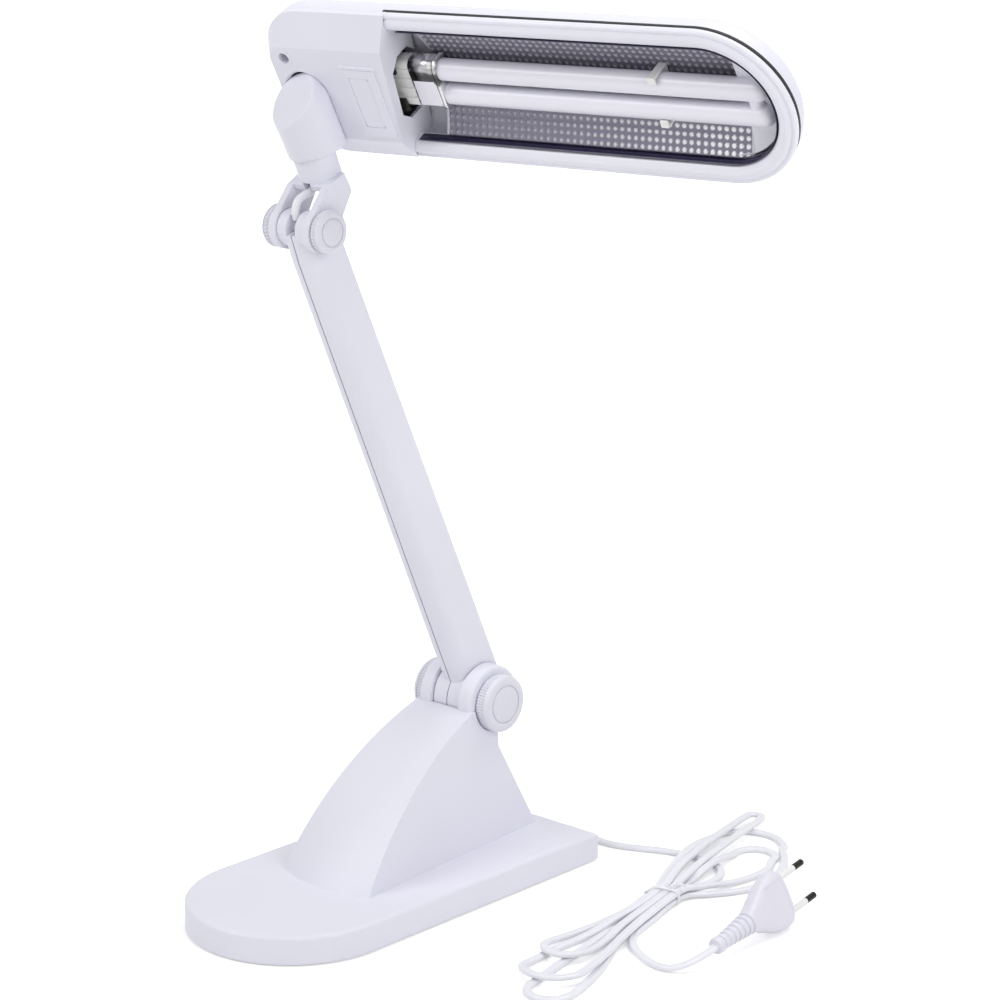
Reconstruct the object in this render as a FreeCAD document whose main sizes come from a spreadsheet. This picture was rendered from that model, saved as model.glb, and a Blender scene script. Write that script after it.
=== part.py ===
import FreeCAD, Part
import Sketcher
import math
import os
from collections import namedtuple

# Fluorescent desk lamp with a plug-in U tube, a swivelling head, an arm with two clamp hinges
# and a weighted base. Millimetres, +Z up, the lamp faces -Y, origin under the base's middle.
V = FreeCAD.Vector
doc = FreeCAD.newDocument("desk_lamp")
sheet = doc.addObject("Spreadsheet::Sheet", "Sizes")

SIZES = {
    # base plate and hump
    "base_half_width": 62.6, "base_long": 253.2, "plate_top": 17.2, "plate_round": 2.4,
    "shell_wall": 2.5, "foot_gap": 1.0, "cover_thick": 2.0, "cover_play": 0.3,
    "hump_set_back": 11.0, "hump_valley_y": 83.0, "hump_valley_z": 74.0, "hump_top_z": 99.8,
    "front_arc": 201.5, "front_arc_y": 131.8, "front_arc_z": -88.0,
    "side_x": 32.48, "side_per_y": 0.0823, "side_per_z": 0.0535, "front_bulge": 7.5,
    # lower hinge
    "low_hinge_y": 80.1, "low_hinge_z": 102.0, "ear_radius": 21.4, "ear_inner": 11.4,
    "ear_outer": 20.5, "low_barrel": 18.8, "barrel_half": 10.6, "bolt_radius": 3.0,
    "run_play": 0.05, "gap": 0.3, "washer_radius": 9.0, "washer_thick": 0.5,
    "knob_radius": 17.0, "knob_long": 9.2, "knob_cap": 10.7, "knob_ribs": 60,
    # arm
    "arm_long": 320.4, "arm_lean": 23.67, "arm_half": 10.2, "arm_front_top": 11.5,
    "arm_rear_top": 15.8, "arm_front_low": 9.4, "arm_rear_low": 21.8, "arm_round": 8.6,
    "arm_bore": 2.5, "arm_screw_y": 10.5,
    # upper hinge and neck
    "up_barrel": 10.4, "yoke_inner": 10.9, "yoke_thick": 4.6, "yoke_disc": 12.2,
    "small_knob_radius": 11.9, "small_knob_long": 6.2, "small_knob_cap": 7.2,
    "small_knob_ribs": 36, "up_bolt": 2.5, "neck_lean": 23.0, "neck_back": 22.8,
    "neck_radius": 11.65, "neck_low": 17.2, "neck_high": 46.0, "neck_bore": 5.5,
    "stub_radius": 8.0, "stub_long": 8.0, "shoulder": 3.0, "nut_radius": 10.2, "nut_thick": 4.0,
    "cable_radius": 2.1,
    # head: X along the tube, Y across, Z out of the mouth, placed from the upper hinge
    "head_x": 74.40, "head_ahead": 29.4504375, "head_above": 82.1543141, "head_yaw": 8.0, "head_dip": 31.0,
    "head_half": 45.3, "end_centre": 167.3, "head_left": 100.6, "corner": 29.5,
    "shell_round": 17.5, "shell_top": 15.3, "head_wall": 2.2, "seam_z": 4.8,
    "bezel_proud": 0.6, "bezel_low": 5.6, "rim_z": 8.6, "mouth_half": 34.8, "rim_round": 2.2,
    "face_z": 18.5, "face_half": 29.0, "face_left": 92.7, "face_corner": 9.0,
    "recess_x": 21.0, "recess_turn": 7.5, "bezel_left": 19.0,
    "reflector_long": 187.0, "reflector_edge": 1.6, "reflector_deep": 9.6,
    "sheet_thick": 0.5,
    # plug-in lamp
    "tube_radius": 6.0, "tube_pitch": 15.0, "tube_long": 197.5, "bridge_from_end": 9.0,
    "band_long": 14.0, "band_wide": 30.0, "band_high": 12.6, "cap_long": 14.0,
    "cap_wide": 28.0, "cap_high": 11.6, "pin_long": 8.0,
    # swivel cup
    "cup_radius": 16.55, "cup_x": -76.25, "cup_y": -30.1, "cup_z": 27.1, "cup_dome": 29.5,
    "cup_cut": 27.0,
    "glass_wall": 0.8, "clip_x": 133.4, "clip_wide": 4.5, "clip_play": 0.4, "clip_wall": 1.2,
    # rocker switch, in the head's frame
    "switch_x": -63.0, "switch_long": 20.0, "switch_wide": 14.4, "rocker_tilt": 7.0,
    # mains cord, the tied hank and the plug
    "cord_radius": 2.3, "cord_exit_x": 8.0, "cord_exit_z": 6.5,
    "hank_x": 133.5, "hank_y": 100.5, "hank_turn": 101.5, "hank_step": 5.4, "hank_layer": 5.3,
    "hank_lift": 1.0, "waist_half": 11.0,
    "plug_x": 204.8, "plug_y": 127.1, "plug_z": 17.5, "pin_half": 10.2, "plug_pin_long": 20.5,
    "plug_face": 6.0, "plug_long": 41.0, "plug_thick": 12.6, "relief_long": 33.0, "relief_radius": 6.6,
    "pin_radius": 1.95, "sleeve_long": 10.0,
}
for row, (alias, value) in enumerate(SIZES.items(), start=1):
    sheet.set(f"A{row}", alias)
    sheet.set(f"B{row}", str(value))
    sheet.setAlias(f"B{row}", alias)
doc.recompute()


def number(size):
    return size.value if isinstance(size, Size) else float(size)


def words(size):
    return size.formula if isinstance(size, Size) else repr(float(size))


class Size:
    """A length or an angle: its value, and its formula in the sheet's names."""

    def __init__(self, value, formula):
        self.value = value
        self.formula = formula

    def __add__(self, other):
        return Size(self.value + number(other), f"({self.formula} + {words(other)})")

    def __sub__(self, other):
        return Size(self.value - number(other), f"({self.formula} - {words(other)})")

    def __mul__(self, other):
        return Size(self.value * number(other), f"({self.formula} * {words(other)})")

    def __truediv__(self, other):
        return Size(self.value / number(other), f"({self.formula} / {words(other)})")

    def __neg__(self):
        return Size(-self.value, f"(0 - {self.formula})")

    def __radd__(self, other):
        return Size(number(other) + self.value, f"({words(other)} + {self.formula})")

    def __rsub__(self, other):
        return Size(number(other) - self.value, f"({words(other)} - {self.formula})")

    def __rmul__(self, other):
        return Size(number(other) * self.value, f"({words(other)} * {self.formula})")


class Cells:
    """Every named cell of the sheet, as S.name."""

    def __getattr__(self, alias):
        return Size(float(sheet.get(alias)), "Sizes." + alias)


S = Cells()
nodes = []


def bind(thing, prop, size):
    if isinstance(size, Size):
        thing.setExpression(prop, size.formula)
    else:
        setattr(thing, prop, size)


ALONG = {
    "Z": FreeCAD.Rotation(),
    "X": FreeCAD.Rotation(V(0, 1, 0), 90),
    "Y": FreeCAD.Rotation(V(1, 0, 0), -90),
    "-Y": FreeCAD.Rotation(V(1, 0, 0), 90),
    "-X": FreeCAD.Rotation(V(0, 1, 0), -90),
}
# A profile drawn in the Y-Z plane and padded along X.
SIDEWAYS = FreeCAD.Rotation(V(0, 1, 0), V(0, 0, 1), V(1, 0, 0), "ZXY")


def put(thing, at, turn=FreeCAD.Rotation()):
    thing.Placement = FreeCAD.Placement(V(*[number(size) for size in at]), turn)
    for axis, size in zip("xyz", at):
        if isinstance(size, Size):
            thing.setExpression(f"Placement.Base.{axis}", size.formula)
    return thing


def rod(name, radius, length, at=(0, 0, 0), along="Z"):
    made = doc.addObject("Part::Cylinder", name)
    bind(made, "Radius", radius)
    bind(made, "Height", length)
    return put(made, at, ALONG[along])


def taper(name, radius, far_radius, length, at=(0, 0, 0), along="Z"):
    made = doc.addObject("Part::Cone", name)
    bind(made, "Radius1", radius)
    bind(made, "Radius2", far_radius)
    bind(made, "Height", length)
    return put(made, at, ALONG[along])


def ball(name, radius, at):
    made = doc.addObject("Part::Sphere", name)
    bind(made, "Radius", radius)
    return put(made, at)


def block(name, low, high):
    made = doc.addObject("Part::Box", name)
    for prop, start, end in zip(("Length", "Width", "Height"), low, high):
        bind(made, prop, end - start)
    return put(made, low)


def fused(name, *pieces):
    made = doc.addObject("Part::MultiFuse", name)
    made.Shapes = list(pieces)
    made.Refine = True
    return made


def less(name, base, *tools):
    made = doc.addObject("Part::Cut", name)
    made.Base = base
    made.Tool = tools[0] if len(tools) == 1 else fused(name + "_tools", *tools)
    return made


def common(name, *pieces):
    made = doc.addObject("Part::MultiCommon", name)
    made.Shapes = list(pieces)
    return made


def eased(name, base, radius, wanted, kind="Part::Fillet"):
    """Rounds or bevels the edges that wanted picks, given each edge's box."""
    doc.recompute()
    made = doc.addObject(kind, name)
    made.Base = base
    picked = [i for i, edge in enumerate(base.Shape.Edges, start=1) if wanted(edge.BoundBox)]
    made.Edges = [(i, number(radius), number(radius)) for i in picked]
    return made


def shaped(name, shape):
    made = doc.addObject("Part::Feature", name)
    made.Shape = shape
    return made


def outline(body, name, corners, rise=0):
    """A closed sketch of straight sides on the body's XY plane, each corner bound to the sheet."""
    made = body.newObject("Sketcher::SketchObject", name)
    plane = [part for part in body.Origin.OriginFeatures if part.Role == "XY_Plane"][0]
    made.AttachmentSupport = [(plane, "")]
    made.MapMode = "FlatFace"
    made.AttachmentOffset = FreeCAD.Placement(V(0, 0, number(rise)), FreeCAD.Rotation())
    if isinstance(rise, Size):
        made.setExpression("AttachmentOffset.Base.z", rise.formula)
    places = [V(number(x), number(y), 0) for x, y in corners]
    for start, end in zip(places, places[1:] + places[:1]):
        made.addGeometry(Part.LineSegment(start, end), False)
    count = len(places)
    for i in range(count):
        made.addConstraint(Sketcher.Constraint("Coincident", i, 2, (i + 1) % count, 1))
    for i, corner in enumerate(corners):
        for kind, size in zip(("DistanceX", "DistanceY"), corner):
            index = made.addConstraint(Sketcher.Constraint(kind, -1, 1, i, 1, number(size)))
            if isinstance(size, Size):
                made.setExpression(f"Constraints[{index}]", size.formula)
    return made


def padded(name, corners, length, rise=0):
    body = doc.addObject("PartDesign::Body", name)
    pad = body.newObject("PartDesign::Pad", name + "_pad")
    pad.Profile = outline(body, name + "_outline", corners, rise)
    bind(pad, "Length", length)
    return body


def turned(name, corners):
    """A body turned about its Z axis from radius and height corners."""
    body = doc.addObject("PartDesign::Body", name)
    made = body.newObject("Sketcher::SketchObject", name + "_outline")
    plane = [part for part in body.Origin.OriginFeatures if part.Role == "XZ_Plane"][0]
    made.AttachmentSupport = [(plane, "")]
    made.MapMode = "FlatFace"
    places = [V(number(x), number(y), 0) for x, y in corners]
    for start, end in zip(places, places[1:] + places[:1]):
        made.addGeometry(Part.LineSegment(start, end), False)
    count = len(places)
    for i in range(count):
        made.addConstraint(Sketcher.Constraint("Coincident", i, 2, (i + 1) % count, 1))
    for i, corner in enumerate(corners):
        for kind, size in zip(("DistanceX", "DistanceY"), corner):
            index = made.addConstraint(Sketcher.Constraint(kind, -1, 1, i, 1, number(size)))
            if isinstance(size, Size):
                made.setExpression(f"Constraints[{index}]", size.formula)
    turn = body.newObject("PartDesign::Revolution", name + "_turn")
    turn.Profile = made
    turn.ReferenceAxis = (made, ["V_Axis"])
    turn.Angle = 360
    return body


def node(name, made, place=None):
    """Names a finished sub-part and puts it in its frame."""
    made.Label = name
    if place is not None:
        made.Placement = place
    nodes.append((name, made))
    return made


# Frames of the moving bodies.
LEAN = FreeCAD.Rotation(V(1, 0, 0), S.arm_lean.value)
LOW_HINGE = V(0, S.low_hinge_y.value, S.low_hinge_z.value)
ARM = FreeCAD.Placement(LOW_HINGE, LEAN)
UP_HINGE = ARM.multVec(V(0, 0, S.arm_long.value))
YOKE = FreeCAD.Placement(UP_HINGE, FreeCAD.Rotation(V(1, 0, 0), S.neck_lean.value))
YAW = FreeCAD.Rotation(V(0, 0, 1), S.head_yaw.value)
TIP = FreeCAD.Rotation(V(1, 0, 0), S.head_dip.value + 90)
HEAD = FreeCAD.Placement(UP_HINGE + V(S.head_x.value, S.head_ahead.value, S.head_above.value), YAW.multiply(TIP))


# Base: a plate with a half-round front, and a hump that narrows upwards to two ears.
def plate(name, inset, low, high):
    half = S.base_half_width - inset
    rear = S.base_long / 2 - inset
    centre = S.base_half_width - S.base_long / 2
    square = block(name + "_square", (-half, centre, low), (half, rear, high))
    nose = rod(name + "_nose", half, high - low, (0, centre, low))
    return fused(name, square, nose)


def hump_section(height, inset, rear):
    """One level of the hump: straight back, drafted sides, bowed front."""
    span = S.front_arc.value**2 - (height - S.front_arc_z.value) ** 2
    front = S.front_arc_y.value - math.sqrt(span) + inset
    side = S.side_x.value - S.side_per_z.value * height - inset
    rear_half = side - S.side_per_y.value * rear
    front_half = side - S.side_per_y.value * front
    rise = (height - S.plate_top.value) / (S.hump_top_z.value - S.plate_top.value)
    bow = S.front_bulge.value * max(0.08, 1 - rise)
    corners = [V(front_half, front, height), V(rear_half, rear, height)]
    corners += [V(-rear_half, rear, height), V(-front_half, front, height)]
    lines = [Part.LineSegment(a, b).toShape() for a, b in zip(corners, corners[1:])]
    bowed = Part.Arc(corners[3], V(0, front - bow, height), corners[0]).toShape()
    return Part.Wire(lines + [bowed])


def slope_y(height):
    """The rear slope's place at a height, from the foot up to the valley under the barrel."""
    rise = (height - S.plate_top.value) / (S.hump_valley_z.value - S.plate_top.value)
    return (S.base_long / 2 - S.hump_set_back).value + rise * (S.hump_valley_y.value - (S.base_long / 2 - S.hump_set_back).value)


def hump(name, inset, low, high):
    heights = [low + (high - low) * i / 5 for i in range(6)]
    sections = [hump_section(z, inset, slope_y(z) - inset) for z in heights]
    return shaped(name, Part.makeLoft(sections, True, False))


foot_z = S.plate_top.value
valley_z = S.hump_valley_z.value
plate_outer = plate("plate_outer", 0, S.foot_gap, S.plate_top)
plate_eased = eased("plate_eased", plate_outer, S.plate_round,
                    lambda box: box.ZMin > foot_z - 0.01)
hump_outer = hump("hump_outer", 0, foot_z - 4, valley_z)

# Above the valley the hump's front wall rises to the lip under the barrel, between the ears.
heights = [valley_z, (valley_z + S.hump_top_z.value) / 2, S.hump_top_z.value]
saddle = shaped("saddle", Part.makeLoft(
    [hump_section(z, 0, S.hump_valley_y.value) for z in heights], True, False))
ears = rod("ears", S.ear_radius, S.ear_outer * 2,
           (-S.ear_outer, S.low_hinge_y, S.low_hinge_z), "X")
ears_eased = eased("ears_eased", ears, 2.2, lambda box: box.XLength < 0.01)
body_outer = fused("body_outer", plate_eased, hump_outer, saddle, ears_eased)
cradle = rod("cradle", S.low_barrel + 0.8, S.ear_inner * 2,
             (-S.ear_inner, S.low_hinge_y, S.low_hinge_z), "X")
cradle_top = block("cradle_top", (-S.ear_inner, S.low_hinge_y - S.ear_radius - 10, S.hump_top_z),
                   (S.ear_inner, S.low_hinge_y + S.ear_radius + 10, S.low_hinge_z + 40))
cradle_rear = block("cradle_rear", (-S.ear_inner, S.low_hinge_y, S.low_hinge_z - S.low_barrel - 0.8),
                    (S.ear_inner, S.low_hinge_y + S.ear_radius + 10, S.low_hinge_z + 1))
ear_bore = rod("ear_bore", S.bolt_radius + S.run_play, 60,
               (-30, S.low_hinge_y, S.low_hinge_z), "X")
plate_hollow = plate("plate_hollow", S.shell_wall, 0, S.plate_top - S.shell_wall)
hump_hollow = hump("hump_hollow", S.shell_wall.value, foot_z - 5, valley_z - 5)
cord_bore = rod("cord_bore", S.cord_radius + 1.5, 12,
                (S.cord_exit_x, S.base_long / 2 - 8, S.cord_exit_z), "Y")
knob_seats = [rod(f"knob_seat_{side}", S.knob_radius + 0.6, 20, (start, S.low_hinge_y, S.low_hinge_z), "X")
              for side, start in (("right", S.ear_outer), ("left", -S.ear_outer - 20))]
base_shell = less("base_shell_cut", body_outer, *knob_seats, cradle, cradle_top, cradle_rear, ear_bore,
                  plate_hollow, hump_hollow, cord_bore)
node("base_shell", base_shell)

# Four screw posts stand on the cover's corners; the cover closes the base from below.
cover_top = S.foot_gap + S.cover_thick
rear_y = S.base_long / 2
POSTS = [(48, rear_y - 18.6), (-48, rear_y - 18.6), (46, -52), (-46, -52)]
cover_plate = plate("cover_plate", S.shell_wall + S.cover_play, S.foot_gap, cover_top)
base_cover = less("base_cover_cut", cover_plate,
                  *[rod(f"cover_hole_{i}", 1.8, 12, (x, y, -2)) for i, (x, y) in enumerate(POSTS)])
node("base_cover", base_cover)
posts = [less(f"post_cut_{i}", rod(f"post_{i}", 4.0, S.plate_top - S.shell_wall - cover_top, (x, y, cover_top)),
              rod(f"post_bore_{i}", 1.35, 30, (x, y, 0)))
         for i, (x, y) in enumerate(POSTS)]
node("cover_posts", fused("cover_posts_all", *posts))
screws = []
for i, (x, y) in enumerate(POSTS):
    head = rod(f"screw_head_{i}", 2.9, 0.9, (x, y, S.foot_gap - 0.9))
    shank = rod(f"screw_shank_{i}", 1.3, 9, (x, y, S.foot_gap))
    screws.append(fused(f"screw_{i}", head, shank))
node("base_screws", fused("base_screws_all", *screws))
FEET = [(50, 92), (-50, 92), (42, -72), (-42, -72), (0, 0)]
feet = [rod(f"foot_{i}", 6.5, S.foot_gap, (x, y, 0)) for i, (x, y) in enumerate(FEET)]
node("rubber_feet", fused("rubber_feet_all", *feet))

# Inside the base: the choke under the hump, a steel weight, the terminal block, the cord clamp.
core = block("choke_core_block", (-16, 40, cover_top), (16, 82, cover_top + 30))
window = block("choke_window", (-17, 50, cover_top + 9), (17, 72, cover_top + 21))
node("choke_core", less("choke_core_cut", core, window))
coil = block("choke_coil_block", (-22, 50.4, cover_top + 9.4), (22, 71.6, cover_top + 20.6))
node("choke_coil", eased("choke_coil_eased", coil, 2, lambda box: box.XLength > 43))
node("base_weight", block("base_weight_block", (-40, -46, cover_top), (40, 18, cover_top + 7)))
node("terminal_block", block("terminal_block_body", (-12, rear_y - 36.6, cover_top), (12, rear_y - 24.6, cover_top + 9)))
clamp = block("clamp_bar", (S.cord_exit_x - 12, rear_y - 18.6, cover_top), (S.cord_exit_x + 12, rear_y - 11.6, cover_top + 9.5))
clamp_way = rod("clamp_way", S.cord_radius + 0.4, 12, (S.cord_exit_x, rear_y - 21.6, S.cord_exit_z), "Y")
node("cord_clamp", less("cord_clamp_cut", clamp, clamp_way))
bush_flange = rod("bush_flange", S.cord_radius + 3, 2.0,
                  (S.cord_exit_x, S.base_long / 2 + 0.0, S.cord_exit_z), "Y")
bush_neck = rod("bush_neck", S.cord_radius + 1.4, S.shell_wall,
                (S.cord_exit_x, S.base_long / 2 - S.shell_wall, S.cord_exit_z), "Y")
bush_tail = taper("bush_tail", S.cord_radius + 2.2, S.cord_radius + 0.9, 4.0,
                  (S.cord_exit_x, S.base_long / 2 + 2.0, S.cord_exit_z), "Y")
bush_way = rod("bush_way", S.cord_radius, 20, (S.cord_exit_x, S.base_long / 2 - 8, S.cord_exit_z), "Y")
node("cord_bush", less("cord_bush_cut", fused("bush_solid", bush_flange, bush_neck, bush_tail), bush_way))

# Lower hinge: a bolt through both ears and the barrel, two washers, two ribbed clamp knobs.
knob_start = S.ear_outer + S.gap
bolt_half = knob_start + S.knob_long - 2.5


def bolt(name, radius, half, y, z):
    """A through bolt along X with a bevelled tip at each end."""
    shank = rod(name + "_shank", radius, (half - 1) * 2, (1 - half, y, z), "X")
    right = taper(name + "_right_tip", radius, radius - 0.8, 1.0, (half - 1, y, z), "X")
    left = taper(name + "_left_tip", radius, radius - 0.8, 1.0, (1 - half, y, z), "-X")
    return fused(name, shank, right, left)


node("lower_bolt", bolt("lower_bolt_solid", S.bolt_radius, bolt_half, S.low_hinge_y, S.low_hinge_z))
washer_at = S.barrel_half + 0.15
washers = []
for side, start in (("right", washer_at), ("left", -washer_at - S.washer_thick)):
    disc = rod(f"washer_disc_{side}", S.washer_radius, S.washer_thick,
               (start, S.low_hinge_y, S.low_hinge_z), "X")
    eye = rod(f"washer_eye_{side}", S.bolt_radius + S.run_play, 4,
              (start - 1, S.low_hinge_y, S.low_hinge_z), "X")
    washers.append(less(f"washer_{side}", disc, eye))
node("lower_washers", fused("lower_washers_all", *washers))


def knob(name, radius, length, cap, ribs, bolt, bore_deep):
    """A clamp knob on its Z axis, bolt side at 0: ribbed rim, bevelled face, sunk ring, raised cap."""
    body = turned(name, [
        (bolt, 0), (radius - 2.2, 0), (radius - 0.6, 0.8), (radius - 0.6, length * 0.66),
        (radius, length * 0.68), (radius, length - 1.6), (radius - 1.5, length - 0.2),
        (cap + 0.9, length), (cap + 0.9, length - 0.7), (cap + 0.2, length - 0.7),
        (cap - 0.3, length + 0.15), (0, length + 0.3), (0, bore_deep), (bolt, bore_deep)])
    tooth = body.newObject("PartDesign::Pad", name + "_rib")
    wide = 2 * math.pi * number(radius) / ribs * 0.28
    sketch = outline(body, name + "_rib_outline", [
        (radius - 1.0, -wide), (radius - 1.0, wide), (radius, wide * 0.45), (radius, -wide * 0.45)], 0.9)
    tooth.Profile = sketch
    bind(tooth, "Length", length * 0.66 - 0.9)
    ring = body.newObject("PartDesign::PolarPattern", name + "_ribs")
    ring.Originals = [tooth]
    ring.Axis = (sketch, ["N_Axis"])
    ring.Angle = 360
    ring.Occurrences = ribs
    body.Tip = ring
    return body


def knob_pair(name, make, at, start):
    right = make(name + "_right_body")
    axis = V(0, number(at[0]), number(at[1]))
    right.Placement = FreeCAD.Placement(axis + V(number(start), 0, 0), ALONG["X"])
    mirror = doc.addObject("Part::Mirroring", name + "_left_mirror")
    mirror.Source = right
    mirror.Normal = V(1, 0, 0)
    mirror.Base = V(0, 0, 0)
    node(name + "_right", right)
    node(name + "_left", mirror)


knob_pair("lower_knob", lambda name: knob(name, S.knob_radius, S.knob_long, S.knob_cap,
                                          int(S.knob_ribs.value), S.bolt_radius + S.run_play,
                                          S.knob_long - 2.2),
          (S.low_hinge_y, S.low_hinge_z), knob_start)

# Arm: two moulded halves that meet at x = 0, a barrel at each end, the cable's way between them.
low_ring = rod("low_ring", S.low_barrel, S.barrel_half * 2, (-S.barrel_half, 0, 0), "X")
up_ring = rod("up_ring", S.up_barrel, S.barrel_half * 2, (-S.barrel_half, 0, S.arm_long), "X")
beam = padded("arm_beam", [(-S.arm_front_low, 0), (S.arm_rear_low, 0),
                           (S.arm_rear_low, 6), (S.arm_rear_top, S.arm_long - 14),
                           (S.up_barrel * 0.8, S.arm_long - 3), (-S.up_barrel, S.arm_long - 1),
                           (-S.arm_front_top, S.arm_long - 16)], S.arm_half * 2)
put(beam, (-S.arm_half, 0, 0), SIDEWAYS)
beam_front = eased("beam_front", beam, S.arm_round,
                   lambda box: box.ZLength > 200 and box.YMax < 0)
beam_rear = eased("beam_rear", beam_front, 3.5,
                  lambda box: box.ZLength > 200 and box.YMin > 12 and box.XLength < 0.1)
arm_solid = fused("arm_solid", beam_rear, low_ring, up_ring)
channel = block("arm_channel", (-S.arm_bore, -S.arm_bore, 24), (S.arm_bore, S.arm_bore + 3, S.arm_long - 14))
low_way = rod("low_way", S.bolt_radius + S.run_play, 40, (-20, 0, 0), "X")
up_way = rod("up_way", S.up_bolt + S.run_play, 40, (-20, 0, S.arm_long), "X")
# The upper barrel is open at the top for the cable, over the range of the hinge.
slot_half = S.cable_radius + 1.4
slot_ring = rod("slot_ring", S.up_barrel + 2, slot_half * 2, (-slot_half, 0, S.arm_long), "X")
slot_hub = rod("slot_hub", S.up_bolt + 2.2, slot_half * 2 + 1, (-slot_half - 0.5, 0, S.arm_long), "X")
slot_front = block("slot_front", (-20, -30, S.arm_long - 20), (20, -S.up_barrel * 0.55, S.arm_long + 1))
slot_low = block("slot_low", (-20, -30, S.arm_long - 40), (20, 30, S.arm_long - 9.5))
slot = less("cable_slot", slot_ring, slot_hub, slot_front, slot_low)
arm_screw_at = [S.arm_long * share for share in (0.2, 0.5, 0.8)]
wells = [rod(f"arm_well_{i}", 3.2, 8, (-S.arm_half - 4, S.arm_screw_y, z), "X")
         for i, z in enumerate(arm_screw_at)]
pilots = [rod(f"arm_pilot_{i}", 1.35, S.arm_half + 5, (-S.arm_half, S.arm_screw_y, z), "X")
          for i, z in enumerate(arm_screw_at)]
arm_hollow = less("arm_hollow", arm_solid, channel, low_way, up_way, slot, *wells, *pilots)
for side, low, high in (("left", -40, 0), ("right", 0, 40)):
    half_room = block(f"arm_room_{side}", (low, -80, -60), (high, 80, 420))
    node(f"arm_half_{side}", common(f"arm_{side}_half", arm_hollow, half_room), ARM)
arm_screws = []
for i, z in enumerate(arm_screw_at):
    head = rod(f"arm_screw_head_{i}", 2.9, 1.8, (4.0 - S.arm_half - 1.8, S.arm_screw_y, z), "X")
    shank = rod(f"arm_screw_shank_{i}", 1.3, S.arm_half, (4.0 - S.arm_half, S.arm_screw_y, z), "X")
    arm_screws.append(fused(f"arm_screw_{i}", head, shank))
node("arm_screws", fused("arm_screws_all", *arm_screws), ARM)
# The cable lies against the channel's front wall.
cable_y = S.cable_radius + 0.3 - S.arm_bore
node("arm_cable", fused("arm_cable_all",
                        rod("arm_cable_rod", S.cable_radius, S.arm_long - 46, (0, cable_y, 26)),
                        ball("arm_cable_end", S.cable_radius, (0, cable_y, S.arm_long - 20))), ARM)

# Neck: two plates hug the upper barrel and run back and up into the swivel tube.
neck_tube = rod("neck_tube", S.neck_radius, S.neck_high - S.neck_low, (0, S.neck_back, S.neck_low))
yoke_outer = S.yoke_inner + S.yoke_thick
plates = []
for side, start in (("right", S.yoke_inner), ("left", -yoke_outer)):
    cheek = padded(f"cheek_{side}", [(-8.6, 8.4), (11.0, S.neck_low + 2.6), (S.neck_back + 3.4, S.neck_low + 4.4),
                                     (S.neck_back + 4.4, 10.0), (16.0, 1.0), (9.5, -7.4)],
                   S.yoke_thick)
    put(cheek, (start, 0, 0), SIDEWAYS)
    disc = rod(f"cheek_disc_{side}", S.yoke_disc, S.yoke_thick, (start, 0, 0), "X")
    plates += [cheek, disc]
bridge = padded("neck_bridge", [(11.6, S.neck_low), (S.neck_back + 4.4, 12.0),
                                (S.neck_back + 3.4, S.neck_low + 4.4), (11.6, S.neck_low + 2.8)],
                yoke_outer * 2)
put(bridge, (-yoke_outer, 0, 0), SIDEWAYS)
stub = rod("neck_stub", S.stub_radius, S.stub_long + 1, (0, S.neck_back, S.neck_high - 1))
neck_solid = fused("neck_solid", neck_tube, stub, bridge, *plates)
neck_way = rod("neck_way", S.neck_bore, 80, (0, S.neck_back, 0))
yoke_bore = rod("yoke_bore", S.up_bolt + S.run_play, 60, (-30, 0, 0), "X")
cable_mouth = block("cable_mouth", (-2.6, 9, 8), (2.6, 19, S.neck_low + 4.4))
node("neck_yoke", less("neck_yoke_cut", neck_solid, neck_way, cable_mouth, yoke_bore), YOKE)
small_start = yoke_outer + S.gap
small_half = small_start + S.small_knob_long - 2.0
node("upper_bolt", bolt("upper_bolt_solid", S.up_bolt, small_half, 0, 0), YOKE)
nut_low = S.neck_high + 0.3 + S.shoulder + 0.3
node("neck_nut", less("neck_nut_ring", rod("neck_nut_disc", S.nut_radius, S.nut_thick, (0, S.neck_back, nut_low)),
                      rod("neck_nut_eye", S.stub_radius, 30, (0, S.neck_back, nut_low - 10))), YOKE)
knob_pair("upper_knob", lambda name: knob(name, S.small_knob_radius, S.small_knob_long,
                                          S.small_knob_cap, int(S.small_knob_ribs.value),
                                          S.up_bolt + S.run_play, S.small_knob_long - 1.8),
          (UP_HINGE.y, UP_HINGE.z), small_start)

# The cable arches from the barrel's slot into the swivel tube, where it lies against the bore.
def through(points):
    """A path of straight runs joined by arcs as large as the runs allow, and its least radius."""
    bent = [points[0]]
    for before, corner, after in zip(points, points[1:], points[2:]):
        if (corner - before).getAngle(after - corner) > 0.002:
            bent.append(corner)
    points = bent + [points[-1]]
    edges, start, least = [], points[0], 1e9
    for before, corner, after in zip(points, points[1:], points[2:]):
        back, on = before - corner, after - corner
        cut = 0.45 * min(back.Length, on.Length)
        back.normalize()
        on.normalize()
        half_turn = (math.pi - back.getAngle(on)) / 2
        radius = cut / math.tan(half_turn)
        least = min(least, radius)
        inward = (back + on).normalize()
        middle = corner + inward * (math.hypot(radius, cut) - radius)
        edges.append(Part.LineSegment(start, corner + back * cut).toShape())
        edges.append(Part.Arc(corner + back * cut, middle, corner + on * cut).toShape())
        start = corner + on * cut
    edges.append(Part.LineSegment(start, points[-1]).toShape())
    return Part.Wire(edges), least


def tube(name, points, radius):
    """A round cord along a path, with its length, least bend and volume check printed."""
    points = [V(*point) for point in points]
    path, least = through(points)
    ring = Part.Wire(Part.makeCircle(radius, points[0], points[1] - points[0]))
    solid = path.makePipeShell([ring], True, False)
    share = solid.Volume / (math.pi * radius**2 * path.Length)
    print(f"{name}: {path.Length:.0f} mm long, least radius {least:.1f} mm, volume share {share:.4f}")
    return shaped(name, solid)


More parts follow.
